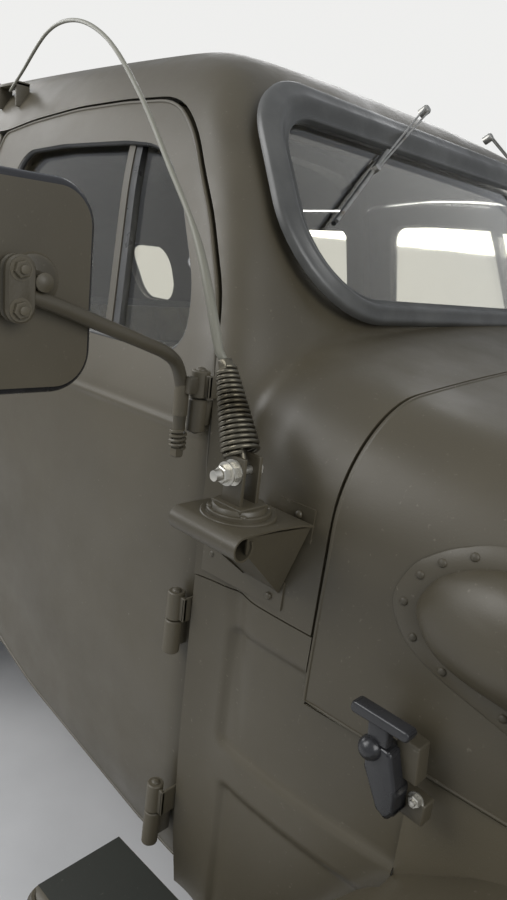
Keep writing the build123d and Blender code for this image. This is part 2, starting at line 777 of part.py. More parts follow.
def tyre_ring(radius, y):
    """A closed ring of flat sides about the wheel's axis."""
    corner_r = radius / cos(radians(180 / TYRE_SIDES))
    angles = [radians((k + 0.5) * 360 / TYRE_SIDES - 90) for k in range(TYRE_SIDES)]
    return Wire.make_polygon([Vector(corner_r * cos(a), y, corner_r * sin(a)) for a in angles], close=True)


def tyre():
    """A tyre about the origin: a carcass of flat facets with tread bars, those on the left half a step round."""
    rings = TYRE_RINGS + [(r, -half) for r, half in TYRE_RINGS[::-1]]
    carcass = Solid.make_loft([tyre_ring(r, half) for r, half in rings], ruled=True)
    bore = Solid.make_loft([tyre_ring(RIM_SEAT_R + 0.1, y) for y in (-TYRE_W, TYRE_W)], ruled=True)
    bars = []
    for side, start in ((-1, 0), (1, 0.5)):
        bar = prism_yz([(side * y, -r) for y, r in BAR_OUTLINE], -BAR_W / 2, BAR_W / 2)
        bars += [bar.rotate(Axis.Y, (k + start) * 360 / TYRE_SIDES) for k in range(TYRE_SIDES)]
    return fuse([cut(carcass, [bore])] + bars)


TYRE = tyre()


def rim(x, y, z):
    """A left wheel's rim with its disc, brake drum and hub, about its spindle's axis."""
    lip = RIM_HALF - RIM_LIP
    barrel = [
        (RIM_IN_R, -RIM_HALF),
        (RIM_FLANGE_R, -RIM_HALF),
        (RIM_FLANGE_R, -lip),
        (RIM_SEAT_R, -lip),
        (RIM_SEAT_R, lip),
        (RIM_FLANGE_R, lip),
        (RIM_FLANGE_R, RIM_HALF),
        (RIM_IN_R, RIM_HALF),
    ]
    drum_in, drum_out = DRUM_R
    disc_y = DRUM_Y[1] - TRACK_Y
    drum_y = DRUM_Y[0] - TRACK_Y
    hub_in, hub_out = HUB_Y[0] - TRACK_Y, HUB_Y[1] - TRACK_Y
    bore = SPINDLE_R + SPINDLE_FIT
    centre = [
        (bore, hub_in),
        (HUB_R, hub_in),
        (HUB_R, disc_y - DISC_T),
        (drum_in, disc_y - DISC_T),
        (drum_in, drum_y),
        (drum_out, drum_y),
        (drum_out, disc_y),
        (RIM_IN_R + 5, disc_y + 22),
        (RIM_IN_R + 5, disc_y + 32),
        (drum_out - 6, disc_y + DISC_T),
        (HUB_R, disc_y + DISC_T),
        (HUB_R, hub_out),
        (bore, hub_out),
    ]
    return fuse([turned(barrel, y, x, z), turned(centre, y, x, z)])


def spare_rim(x, y, z):
    """The spare's rim with a plain disc."""
    lip = RIM_HALF - RIM_LIP
    profile = [
        (40, 30),
        (150, 16),
        (RIM_IN_R, 38),
        (RIM_IN_R, -RIM_HALF),
        (RIM_FLANGE_R, -RIM_HALF),
        (RIM_FLANGE_R, -lip),
        (RIM_SEAT_R, -lip),
        (RIM_SEAT_R, lip),
        (RIM_FLANGE_R, lip),
        (RIM_FLANGE_R, RIM_HALF),
        (RIM_IN_R, RIM_HALF),
        (RIM_IN_R, 48),
        (150, 26),
        (40, 40),
    ]
    return turned(profile, y, x, z)


def knuckle():
    """A left steering knuckle: cup, king pin bores, steering arm, back plate and spindle."""
    centre = (FRONT_AXLE_X, KINGPIN_Y, AXLE_Z)
    cup = Solid.make_sphere(CUP_OUT_R, Plane(centre), angle1=-90, angle2=90, angle3=360)
    cup = cut(cup, [Solid.make_sphere(CUP_IN_R, Plane(centre), angle1=-90, angle2=90, angle3=360)])
    x, y, z = centre
    cup = cut(cup, [x_box(x - 100, x + 100, y - 100, y + CUP_EDGE, z - 100, z + 100)])
    bosses = [
        rod((x, y, z + CUP_IN_R + 3), (x, y, z + CUP_OUT_R + 8), 24),
        rod((x, y, z - CUP_OUT_R - 8), (x, y, z - CUP_IN_R - 3), 24),
    ]
    spindle = rod((x, y + CUP_IN_R + 4, z), (x, SPINDLE_END_Y, z), SPINDLE_R)
    plate = rod((x, BACKPLATE_Y[0], z), (x, BACKPLATE_Y[1], z), BACKPLATE_R)
    arm = x_box(x - STEER_ARM, x - CUP_IN_R - 4, y - 13, y + 11, z - 14, z + 14)
    eye = rod((x - STEER_ARM, y - 1, z - 20), (x - STEER_ARM, y - 1, z + 20), 18)
    body = fuse([cup] + bosses + [spindle, plate, arm, eye])
    pin = rod((x, y, z - 150), (x, y, z + 150), KINGPIN_R + PIN_FIT)
    hollow = Solid.make_sphere(CUP_IN_R, Plane(centre), angle1=-90, angle2=90, angle3=360)
    return cut(body, [pin, hollow])


def axle(x, diff_y, out_y, with_spindle):
    """An axle tube with its differential, spring pads and its ends."""
    pieces = [rod((x, -out_y, AXLE_Z), (x, out_y, AXLE_Z), AXLE_R)]
    ball = Solid.make_sphere(DIFF_R, Plane((x, diff_y, AXLE_Z)), angle1=-90, angle2=90, angle3=360)
    ball = meet(ball, x_box(x - DIFF_R, x + DIFF_R, diff_y - 105, diff_y + 105, 0, 1000))
    pieces.append(ball)
    pads = [x_box(x - 60, x + 60, SPRING_Y[0], SPRING_Y[1], AXLE_Z, SPRING_SEAT_Z)]
    pieces += both_sides(pads)
    if with_spindle:
        ends = [
            rod((x, out_y - 5, AXLE_Z), (x, SPINDLE_END_Y, AXLE_Z), SPINDLE_R),
            rod((x, BACKPLATE_Y[0], AXLE_Z), (x, BACKPLATE_Y[1], AXLE_Z), BACKPLATE_R),
        ]
    else:
        reach = CUP_OUT_R + 16
        centre = (x, KINGPIN_Y, AXLE_Z)
        ends = [
            Solid.make_sphere(BALL_R, Plane(centre), angle1=-90, angle2=90, angle3=360),
            rod((x, KINGPIN_Y, AXLE_Z - reach), (x, KINGPIN_Y, AXLE_Z + reach), KINGPIN_R),
        ]
    return fuse(pieces + both_sides(ends))


SPRING_Y = (396, 442)
SPRING_SEAT_Z = 500
SPRING_T = 38
SPRING_REACH = 480
SPRING_RISE = 55
HANGER_T = 26


def leaf_spring(x, hanger_tops):
    """A left leaf pack over an axle with hangers up to the frame rail."""
    top = SPRING_SEAT_Z + SPRING_T
    shares = [-1, -0.6, 0, 0.6, 1]
    path = [(x + s * SPRING_REACH, top + SPRING_RISE * s * s) for s in shares]
    leaves = strip(path, SPRING_T * 0.55, *SPRING_Y)
    middle = x_box(x - 55, x + 55, *SPRING_Y, SPRING_SEAT_Z, top)
    hangers = []
    for s, hanger_top in zip((-1, 1), hanger_tops):
        hx = x + s * (SPRING_REACH - 14)
        low = top + SPRING_RISE - 40
        x0, x1 = hx - HANGER_T / 2, hx + HANGER_T / 2
        hangers.append(x_box(x0, x1, RAIL_Y[1] - 2, SPRING_Y[1], low, hanger_top))
    return cut(fuse([leaves, middle] + hangers), [FRAME])


FRONT_AXLE = axle(FRONT_AXLE_X, FRONT_DIFF_Y, KINGPIN_Y - 20, False)
REAR_AXLE = axle(REAR_AXLE_X, 0, 700, True)


def write_running_gear():
    """Axles, springs, knuckles and the four wheels."""
    write("front_axle", FRONT_AXLE)
    write("rear_axle", REAR_AXLE)
    springs = [leaf_spring(FRONT_AXLE_X, (594, 640)), leaf_spring(REAR_AXLE_X, (640, 594))]
    write("leaf_springs", *both_sides(springs))
    left = knuckle()
    write("knuckle_left", left)
    write("knuckle_right", other_side(left))
    for place, x in (("front", FRONT_AXLE_X), ("rear", REAR_AXLE_X)):
        rubber = TYRE.translate(Vector(x, TRACK_Y, AXLE_Z))
        steel = rim(x, TRACK_Y, AXLE_Z)
        write(f"tyre_{place}_left", rubber)
        write(f"tyre_{place}_right", other_side(rubber))
        write(f"rim_{place}_left", steel)
        write(f"rim_{place}_right", other_side(steel))


write_running_gear()

# Spare wheel on the tail

SPARE_Z = 1130
SPARE_X = -2078
CARRIER_R = 39


def write_spare():
    """The spare wheel on its carrier behind the cab."""
    turn = Axis((0, 0, SPARE_Z), (0, 0, 1))
    write("spare_tyre", TYRE.rotate(Axis.Z, 90).translate(Vector(SPARE_X, 0, SPARE_Z)))
    write("spare_rim", spare_rim(0, 0, SPARE_Z).rotate(turn, 90).translate(Vector(SPARE_X, 0, 0)))
    post = rod((-1880, 0, SPARE_Z), (SPARE_X - 50, 0, SPARE_Z), CARRIER_R)
    nut = rod((SPARE_X - 40.5, 0, SPARE_Z), (SPARE_X - 60, 0, SPARE_Z), 75)
    plate = x_box(-1925, -1896, -150, 150, SPARE_Z - 150, SPARE_Z + 150)
    write("spare_carrier", cut(fuse([post, nut, plate]), [OUTER]))


write_spare()

# Engine, driveline, tank and exhaust

RADIATOR_X = (1900, 1960)


def write_machinery():
    """The engine as a plain block, the radiator, driveline, tank and exhaust."""
    write("engine_block", x_box(1130, 1800, -210, 210, 715, 1235))
    write("radiator", x_box(*RADIATOR_X, -300, 300, 775, 1240))
    gearbox = x_box(620, 1010, -120, 120, 400, 592)
    transfer = x_box(330, 560, -120, 240, 372, 560)
    front_shaft = rod((550, FRONT_DIFF_Y, 440), (1430, FRONT_DIFF_Y, AXLE_Z), 30)
    rear_shaft = rod((340, 0, 440), (-975, 0, AXLE_Z), 32)
    joint = rod((550, 0, 470), (630, 0, 470), 34)
    drive = fuse([gearbox, transfer, front_shaft, rear_shaft, joint])
    write("driveline", cut(drive, [FRAME, FRONT_AXLE, REAR_AXLE]))
    write("fuel_tank", x_box(FRAME_REAR_X + 110, FRAME_REAR_X + 350, -250, 250, 560, 760))
    pipe = tube([(1000, -270, 440), (-250, -270, 440), (-430, -470, 430), (-460, -700, 430)], [60, 60], 26)
    silencer = rod((250, -270, 440), (-200, -270, 440), 62)
    write("exhaust", fuse([pipe, silencer]))


write_machinery()

# Inside the cab

SEAT_OUTLINE = [
    (300, 616), (700, 616), (700, 730), (780, 770), (780, 900), (400, 880), (250, 1400), (150, 1380), (260, 800),
]
BENCH_OUTLINE = [
    (-510, 616), (-210, 616), (-210, 760), (-130, 790), (-130, 930), (-520, 900), (-640, 1400), (-690, 1390),
    (-690, 790), (-510, 790),
]
DASH_OUTLINE = [(800, 1220), (840, 1220), (868, 1440), (845, 1452), (800, 1400)]
COLUMN_LOW = (1020, 370, 900)
COLUMN_HIGH = (600, 370, 1150)
WHEEL_RIM_R = 215
WHEEL_BAR_R = 12


DASH = cut(prism_xz(DASH_OUTLINE, -680, 680, 6), [SHELL])


def write_cabin():
    """Seats, dashboard and steering wheel."""
    seat = prism_xz(SEAT_OUTLINE, 110, 600, 22)
    bench = prism_xz(BENCH_OUTLINE, -590, 590, 16)
    write("seats", cut(group([seat, other_side(seat), bench]), [FLOOR]))
    write("dashboard", DASH)
    low, high = Vector(*COLUMN_LOW), Vector(*COLUMN_HIGH)
    along = (high - low).normalized()
    plane = Plane(origin=high, z_dir=along)
    hoop = Solid.make_torus(WHEEL_RIM_R, WHEEL_BAR_R, plane)
    hub = Solid.make_cylinder(38, 40, Plane(origin=high - along * 30, z_dir=along))
    spokes = []
    for i in range(3):
        out = plane.x_dir.rotate(Axis(high, along), 120 * i + 90)
        spokes.append(rod(tuple(high), tuple(high + out * WHEEL_RIM_R), 8))
    shaft = rod(tuple(high - along * 120), tuple(high), 16)
    write("steering_wheel", fuse([hoop, hub, shaft] + spokes))
    column = rod(tuple(low), tuple(high - along * 60), 30)
    bore = rod(tuple(high - along * 124), tuple(high), 16.05)
    bracket = x_box(800, 880, 340, 400, 1010, 1222)
    write("steering_column", cut(fuse([column, bracket]), [SHELL, DASH, bore]))


# Lamps, mirrors, wipers and aerials

HEADLAMP = (1935, 640, 1090)
HEADLAMP_R = 98
TAIL_LAMP = (-1702, 880, 868)
MIRROR_X = 812
MIRROR_Y = 1038
MIRROR_Z = 1521
MIRROR_HALF_W = 100
MIRROR_HALF_H = 113
MIRROR_T = 16
ARM_R = 9
MIRROR_FOOT = (820, 824)


def mirror():
    """A left mirror with its arm down to a bracket on the pillar's top hinge."""
    y, z = MIRROR_Y, MIRROR_Z
    w, h = MIRROR_HALF_W, MIRROR_HALF_H
    corners = [Vector(MIRROR_X, y + a * w, z + b * h) for a, b in ((-1, -1), (1, -1), (1, 1), (-1, 1))]
    face = Face(Wire.make_polygon(corners, close=True))
    face = face.fillet_2d(42, face.vertices())
    dish = Solid.extrude(face, Vector(-MIRROR_T, 0, 0))
    clamp = x_box(MIRROR_X - 2, MIRROR_X + 34, y - 22, y + 14, z - 32, z + 32)
    foot_x, foot_y = MIRROR_FOOT
    points = [(MIRROR_X + 22, y + 4, z), (foot_x + 4, 845, 1452), (foot_x, foot_y, 1412), (foot_x, foot_y, 1330)]
    arm = tube(points, [26, 20], ARM_R)
    link = x_box(foot_x + 6, foot_x + 18, hinge_y(1412) + HINGE_R - 3, foot_y, 1400, 1424)
    return fuse([dish, clamp, arm, link])


def aerial_base():
    """A left aerial bracket on the cowl: folded wedge, stepped disc and clevis."""
    wedge = prism_yz([(CAB_HALF - 1, 1310), (902, 1310), (902, 1288), (CAB_HALF - 1, 1182)], 945, 1050)
    flange = x_box(938, 1057, CAB_HALF - 1, CAB_HALF + 3, 1176, 1240)
    cx, cy = AERIAL_BASE
    discs = [rod((cx, cy, 1308), (cx, cy, 1316), 44), rod((cx, cy, 1314), (cx, cy, 1326), 32)]
    plates = [x_box(cx - 22, cx + 22, cy + s * 15 - 3, cy + s * 15 + 3, 1320, 1382) for s in (-1, 1)]
    bolt = rod((cx, cy - 34, 1362), (cx, cy + 34, 1362), 7)
    return cut(fuse([wedge, flange] + discs + plates + [bolt]), [SHELL])


AERIAL_BASE = (1000, 848)
AERIAL_PATH = [
    (1001, 848, 1350),
    (925, 833, 1455),
    (847, 817, 1584),
    (748, 796, 1680),
    (641, 774, 1777),
    (517, 749, 1862),
    (372, 719, 1914),
    (222, 688, 1924),
    (54, 652, 1883),
    (-60, 622, 1864),
]
SPRING_TOP = 0.92
SPRING_FOOT = 46


def aerial():
    """A left aerial: spring cone with its lug, and the whip out of the cone's top."""
    low, high = Vector(*AERIAL_PATH[0]), Vector(*AERIAL_PATH[1])
    along = (high - low).normalized()
    foot = low + along * SPRING_FOOT
    tall = (high - low).length * SPRING_TOP - SPRING_FOOT
    cone = Solid.make_cone(20, 11, tall, Plane(origin=foot, z_dir=along))
    lug = rod(tuple(low + along * 8), tuple(foot + along * 2), 6)
    path = [tuple(foot + along * (tall - 12))] + AERIAL_PATH[1:]
    bends = []
    for a, b, c in zip(path, path[1:], path[2:]):
        va, vb = Vector(*b) - Vector(*a), Vector(*c) - Vector(*b)
        turn = radians(va.get_angle(vb))
        bends.append(0.45 * min(va.length, vb.length) / tan(turn / 2))
    return fuse([cone, lug, tube(path, bends, 4)])


def aerial_frame():
    """A flat-bar frame on the left roof edge."""
    posts = [x_box(x, x + 6, 600, 630, 1822, 1880) for x in (-100, -20)]
    bar = x_box(-100, -14, 600, 630, 1872, 1878)
    return cut(fuse(posts + [bar]), [SHELL, cab_solid(0)])


def write_outside():
    """Lamps, mirrors, wipers and aerials."""
    x, y, z = HEADLAMP
    lamp = fuse([rod((x - 90, y, z), (x + 50, y, z), HEADLAMP_R), rod((x - 20, y, 930), (x - 20, y, z), 22)])
    lamp = cut(lamp, [wing_block(FRONT_WING, 400, 1000, 300)])
    write("headlamps", lamp, other_side(lamp))
    x, y, z = TAIL_LAMP
    tail = cut(rod((x - 50, y, z), (x + 80, y, z), 42), [wing_block(REAR_WING, 600, 1000, 500)])
    write("tail_lamps", tail, other_side(tail))
    on_pillar = hinge_halves(FRONT_DOOR_X, HINGE_Z[:1], DOOR_GAP, 745, 1)[1]
    left = cut(mirror(), [SHELL] + on_pillar)
    write("mirrors", left, other_side(left))
    base, whip = aerial_base(), aerial()
    base = fuse([base])
    whip = cut(whip, [base, aerial_frame()])
    write("aerial_brackets", base, other_side(base), aerial_frame(), other_side(aerial_frame()))
    write("aerial_whips", whip, other_side(whip))


write_cabin()
write_outside()
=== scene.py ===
import json
import math

import bmesh
import bpy
import numpy as np
from mathutils import Matrix, Vector
from mathutils.bvhtree import BVHTree


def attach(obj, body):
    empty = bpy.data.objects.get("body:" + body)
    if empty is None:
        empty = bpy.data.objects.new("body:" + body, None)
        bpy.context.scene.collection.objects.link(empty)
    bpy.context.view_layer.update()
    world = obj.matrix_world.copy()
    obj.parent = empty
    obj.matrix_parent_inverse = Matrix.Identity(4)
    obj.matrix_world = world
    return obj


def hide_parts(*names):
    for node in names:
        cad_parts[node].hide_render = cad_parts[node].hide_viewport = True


# An army 4x4 car. Sizes here are in millimetres, like the CAD, and become metres as each mesh is made.
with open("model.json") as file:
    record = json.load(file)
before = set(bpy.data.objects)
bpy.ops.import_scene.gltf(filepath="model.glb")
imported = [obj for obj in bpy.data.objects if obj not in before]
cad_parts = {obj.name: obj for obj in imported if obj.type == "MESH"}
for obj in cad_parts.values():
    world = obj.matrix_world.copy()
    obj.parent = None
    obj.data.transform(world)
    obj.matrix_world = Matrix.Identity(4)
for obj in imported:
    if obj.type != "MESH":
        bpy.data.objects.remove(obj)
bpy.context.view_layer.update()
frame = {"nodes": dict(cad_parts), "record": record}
nodes = frame["nodes"]
MM = 0.001
MERGE = 1e-5
AHEAD, LEFT, UP = (1, 0, 0), (0, 1, 0), (0, 0, 1)

# Materials


def node_tree(name):
    """A new material with its Principled shader."""
    made = bpy.data.materials.new(name)
    made.use_nodes = True
    tree = made.node_tree
    shader = next(n for n in tree.nodes if n.type == "BSDF_PRINCIPLED")
    return made, tree, shader


def noise(tree, scale, detail=4.0, stretch=(1, 1, 1)):
    """A noise over the object's own coordinates."""
    place = tree.nodes.new("ShaderNodeTexCoord")
    size = tree.nodes.new("ShaderNodeMapping")
    size.inputs["Scale"].default_value = stretch
    tree.links.new(place.outputs["Object"], size.inputs["Vector"])
    out = tree.nodes.new("ShaderNodeTexNoise")
    out.inputs["Scale"].default_value = scale
    out.inputs["Detail"].default_value = detail
    out.inputs["Roughness"].default_value = 0.55
    tree.links.new(size.outputs["Vector"], out.inputs["Vector"])
    return out.outputs["Fac"]


def ramp(tree, source, stops):
    """Colours or greys over a value, from (place, colour) stops."""
    out = tree.nodes.new("ShaderNodeValToRGB")
    tree.links.new(source, out.inputs["Fac"])
    points = out.color_ramp.elements
    while len(points) < len(stops):
        points.new(0.5)
    for point, (place, colour) in zip(points, stops):
        point.position = place
        point.color = (colour, colour, colour, 1) if isinstance(colour, (int, float)) else (*colour, 1)
    return out.outputs["Color"]


def mix(tree, share, low, high, kind="MIX"):
    """Two colours mixed by a share, each a colour or a socket."""
    out = tree.nodes.new("ShaderNodeMix")
    out.data_type = "RGBA"
    out.blend_type = kind
    for source, socket in ((share, out.inputs[0]), (low, out.inputs[6]), (high, out.inputs[7])):
        if isinstance(source, bpy.types.NodeSocket):
            tree.links.new(source, socket)
        elif isinstance(source, (int, float)):
            socket.default_value = source
        else:
            socket.default_value = (*source, 1)
    return out.outputs[2]


def bump(tree, shader, height, strength, distance):
    """A bump on the shader from a height, in metres."""
    out = tree.nodes.new("ShaderNodeBump")
    out.inputs["Strength"].default_value = strength
    out.inputs["Distance"].default_value = distance
    tree.links.new(height, out.inputs["Height"])
    tree.links.new(out.outputs["Normal"], shader.inputs["Normal"])


def tint(colour, share):
    """A colour made lighter or darker."""
    return tuple(min(1, c * share) for c in colour)


def paint(name, colour, rough=0.42, fine=0.25, bare=0.0):
    """Brushed-on satin paint: soft patches, dust, a fine orange peel and worn edges."""
    made, tree, shader = node_tree(name)
    patches = ramp(tree, noise(tree, 3.2, 5), [(0.3, tint(colour, 0.88)), (0.7, tint(colour, 1.13))])
    specks = ramp(tree, noise(tree, 160, 3), [(0.66, 0.0), (0.78, 1.0)])
    dusty = mix(tree, 0.5, specks, ramp(tree, noise(tree, 7, 6), [(0.48, 0.0), (0.75, 1.0)]), "MULTIPLY")
    pale = tuple(0.75 * c + 0.25 * g for c, g in zip(tint(colour, 1.5), (0.3, 0.28, 0.24)))
    mixed = mix(tree, dusty, patches, pale)
    if bare:
        edge = tree.nodes.new("ShaderNodeNewGeometry").outputs["Pointiness"]
        worn = ramp(tree, edge, [(0.53, 0.0), (0.6, bare)])
        mixed = mix(tree, worn, mixed, tint(colour, 2.2))
    tree.links.new(mixed, shader.inputs["Base Color"])
    gloss = ramp(tree, noise(tree, 11, 6), [(0.3, rough - 0.06), (0.75, rough + 0.09)])
    tree.links.new(gloss, shader.inputs["Roughness"])
    shader.inputs["Specular IOR Level"].default_value = 0.5
    bump(tree, shader, noise(tree, 420, 2), fine, 0.0004)
    return made


def rubber(name, colour, rough=0.55, grain=500, strength=0.25):
    """Rubber with a dusty bloom and a fine grain."""
    made, tree, shader = node_tree(name)
    bloom = ramp(tree, noise(tree, 9, 6), [(0.4, colour), (0.8, tint(colour, 2.1))])
    tree.links.new(bloom, shader.inputs["Base Color"])
    tree.links.new(ramp(tree, noise(tree, 14), [(0.3, rough - 0.08), (0.7, rough + 0.1)]),
                   shader.inputs["Roughness"])
    bump(tree, shader, noise(tree, grain, 2), strength, 0.0005)
    return made


def metal(name, colour, rough=0.35, stain=None, share=0.0):
    """Bare metal with fine scratches and, where asked, stains."""
    made, tree, shader = node_tree(name)
    shader.inputs["Metallic"].default_value = 0.9
    tone = ramp(tree, noise(tree, 40, 5), [(0.3, tint(colour, 0.75)), (0.7, tint(colour, 1.15))])
    if stain:
        tone = mix(tree, ramp(tree, noise(tree, 25, 8), [(0.6 - share, 0.0), (0.75 - share, 1.0)]), tone,
                   stain)
    tree.links.new(tone, shader.inputs["Base Color"])
    tree.links.new(ramp(tree, noise(tree, 90, 4), [(0.3, rough - 0.1), (0.7, rough + 0.15)]),
                   shader.inputs["Roughness"])
    bump(tree, shader, noise(tree, 300, 3, stretch=(1, 1, 5)), 0.2, 0.0003)
    return made


def pane(name, colour, rough=0.02, haze=0.1):
    """Window glass with a thin film of dust that shows when light crosses it."""
    made, tree, shader = node_tree(name)
    shader.inputs["Base Color"].default_value = (*colour, 1)
    shader.inputs["Transmission Weight"].default_value = 1.0
    shader.inputs["IOR"].default_value = 1.05
    shader.inputs["Specular IOR Level"].default_value = 0.9
    shader.inputs["Coat Weight"].default_value = 1.0
    shader.inputs["Coat Roughness"].default_value = 0.03
    film = noise(tree, 5, 8)
    tree.links.new(ramp(tree, film, [(0.35, rough), (0.75, rough + haze)]), shader.inputs["Roughness"])
    return made


def weave(name, colour):
    """Canvas with crossed threads and soft fading."""
    made, tree, shader = node_tree(name)
    place = tree.nodes.new("ShaderNodeTexCoord").outputs["Object"]
    waves = []
    for axis in ("X", "Z"):
        wave = tree.nodes.new("ShaderNodeTexWave")
        wave.bands_direction = axis
        wave.inputs["Scale"].default_value = 220
        wave.inputs["Distortion"].default_value = 0.4
        tree.links.new(place, wave.inputs["Vector"])
        waves.append(wave.outputs["Fac"])
    threads = mix(tree, 0.5, waves[0], waves[1])
    fade = ramp(tree, noise(tree, 6, 6), [(0.3, tint(colour, 0.8)), (0.7, tint(colour, 1.25))])
    tree.links.new(mix(tree, 0.25, fade, threads, "MULTIPLY"), shader.inputs["Base Color"])
    shader.inputs["Roughness"].default_value = 0.9
    shader.inputs["Sheen Weight"].default_value = 0.25
    bump(tree, shader, threads, 0.5, 0.0006)
    return made


OLIVE = (0.066, 0.056, 0.036)
olive = paint("olive_paint_aged", OLIVE)
olive_rough = paint("olive_paint_on_castings", tint(OLIVE, 0.8), 0.5, fine=0.5, bare=0.5)
chassis_paint = paint("chassis_paint_dusty", (0.035, 0.035, 0.032), 0.6, fine=0.6)
step_dark = paint("step_paint_dark_olive", (0.022, 0.024, 0.019), 0.6)
black_rubber = rubber("black_rubber_aged", (0.02, 0.02, 0.019), 0.33)
# The windscreen rubber is painted lighter than the other black rubber: partly dust, partly a painted sheen
# that stands in for the light its slopes reflect.
screen_rubber = rubber("screen_rubber_dusty_painted_sheen", (0.05, 0.05, 0.047), 0.38)
tyre_rubber = rubber("tyre_rubber_dusty", (0.022, 0.021, 0.02), 0.75, 260, 0.5)
black_plastic = rubber("black_hard_rubber", (0.015, 0.015, 0.016), 0.25, 700, 0.1)
engine_iron = paint("engine_iron_painted", (0.1, 0.115, 0.105), 0.55, fine=0.8)
rusty_steel = metal("exhaust_rusty_steel", (0.22, 0.17, 0.13), 0.6, (0.16, 0.06, 0.025), 0.25)
bare_steel = metal("bare_steel_dull", (0.42, 0.41, 0.38), 0.35, (0.2, 0.15, 0.1), 0.02)
zinc = metal("zinc_dull", (0.6, 0.58, 0.52), 0.32)
spring_paint = metal("spring_worn_paint", (0.16, 0.145, 0.11), 0.34, (0.07, 0.06, 0.04), 0.12)
grey_steel = paint("whip_grey_paint", (0.17, 0.165, 0.13), 0.45)
window_glass = pane("window_glass_dusty", (0.87, 0.86, 0.8))
lens = pane("lamp_lens_clear", (0.95, 0.95, 0.92), 0.03, 0.05)
red_lens = rubber("lamp_lens_red", (0.35, 0.012, 0.008), 0.12, 90, 0.3)
seat_cloth = weave("seat_canvas", (0.13, 0.12, 0.08))
seat_piping = weave("seat_piping_canvas", (0.08, 0.075, 0.05))
silver = metal("mirror_silver", (0.9, 0.9, 0.9), 0.12)

# Materials of each slot, the CAD nodes' own first.
SLOTS = {
    "rim_paint": (olive_rough,),
    "black_plastic": (black_plastic,),
    "engine_iron": (engine_iron,),
    "rusty_steel": (rusty_steel,),
    "olive_paint": (olive, olive_rough, spring_paint, step_dark),
    "chassis_paint": (chassis_paint,),
    "black_rubber": (black_rubber, screen_rubber, black_plastic),
    "tyre_rubber": (tyre_rubber,),
    "bare_steel": (bare_steel, zinc, grey_steel, silver),
    "window_glass": (window_glass, lens),
    "lamp_plastic": (red_lens,),
    "seat_cloth": (seat_cloth, seat_piping),
}
for part in frame["record"]["subparts"]:
    mesh = nodes[part["node"]].data
    mesh.materials.clear()
    mesh.materials.append(SLOTS[part["material_slot"]][0])

# Meshes and pieces


def linked(name, data):
    """A new object in the scene."""
    made = bpy.data.objects.new(name, data)
    bpy.context.scene.collection.objects.link(made)
    return made


def evaluated(thing):
    """A mesh of an object as its modifiers leave it."""
    bpy.context.view_layer.update()
    return bpy.data.meshes.new_from_object(thing.evaluated_get(bpy.context.evaluated_depsgraph_get()))


def finish_piece(made, name, body, material, smooth=40, replaces=None):
    """A mesh as a named piece on a body, for a CAD node if one is given, in its material."""
    made.materials.append(material)
    made.polygons.foreach_set("use_smooth", [True] * len(made.polygons))
    if smooth:
        made.set_sharp_from_angle(angle=math.radians(smooth))
    piece = linked(name, made)
    if body:
        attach(piece, body)
    if replaces:
        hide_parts(replaces)
    return piece


def mesh_from(points, faces):
    """A mesh from points in millimetres."""
    made = bpy.data.meshes.new("mesh")
    made.from_pydata([tuple(float(c) * MM for c in p) for p in points], [], [list(f) for f in faces])
    made.update()
    return made


def faced(made, merge=0.0):
    """The same mesh with its faces turned outward, and with points nearer than a distance merged."""
    fixed = bmesh.new()
    fixed.from_mesh(made)
    if merge:
        bmesh.ops.remove_doubles(fixed, verts=fixed.verts, dist=merge)
    bmesh.ops.recalc_face_normals(fixed, faces=fixed.faces)
    fixed.to_mesh(made)
    fixed.free()
    return made


def bevelled(made, offset, segments=3, profile=0.5):
    """The same mesh with its edges rounded by millimetres."""
    soft = bmesh.new()
    soft.from_mesh(made)
    bmesh.ops.bevel(soft, geom=soft.edges[:], offset=offset * MM, segments=segments, affect="EDGES",
                    profile=profile)
    soft.to_mesh(made)
    soft.free()
    return made


def layered(low, high):
    """A closed mesh between two outlines that match point for point."""
    count = len(low)
    faces = [tuple(range(count)), tuple(range(2 * count - 1, count - 1, -1))]
    faces += [(i, i + count, (i + 1) % count + count, (i + 1) % count) for i in range(count)]
    return mesh_from(list(low) + list(high), faces)


def grid_faces(rows, columns, closed=False):
    """Faces of a grid of points that is stored row by row."""
    faces = []
    for i in range(rows - 1):
        for j in range(columns if closed else columns - 1):
            here, after = i * columns + j, i * columns + (j + 1) % columns
            faces.append((here, after, after + columns, here + columns))
    return faces


def tube_faces(rows, columns):
    """Faces of a grid that closes on itself, with its first and last rows capped."""
    caps = [tuple(range(columns))[::-1], tuple(range((rows - 1) * columns, rows * columns))]
    return grid_faces(rows, columns, True) + caps


def join(meshes):
    """One mesh from several."""
    out = bmesh.new()
    for one in meshes:
        out.from_mesh(one)
    made = bpy.data.meshes.new("joined")
    out.to_mesh(made)
    out.free()
    return made


def mirrored(mesh):
    """The same mesh on the other side of the car."""
    out = bmesh.new()
    out.from_mesh(mesh)
    for v in out.verts:
        v.co.y = -v.co.y
    bmesh.ops.reverse_faces(out, faces=out.faces)
    made = bpy.data.meshes.new("mirrored")
    out.to_mesh(made)
    out.free()
    return made


def pair(name, mesh, body, material, smooth=40, replaces=None):
    """A left piece and its mirrored right-hand twin. {} in a body or replaced node stands for the hand."""
    made = []
    for hand, one in (("left", mesh), ("right", mirrored(mesh))):
        node = replaces.format(hand) if replaces and (hand == "left" or "{}" in replaces) else None
        made.append(finish_piece(one, f"{name}_{hand}", body.format(hand), material, smooth, node))
    return made


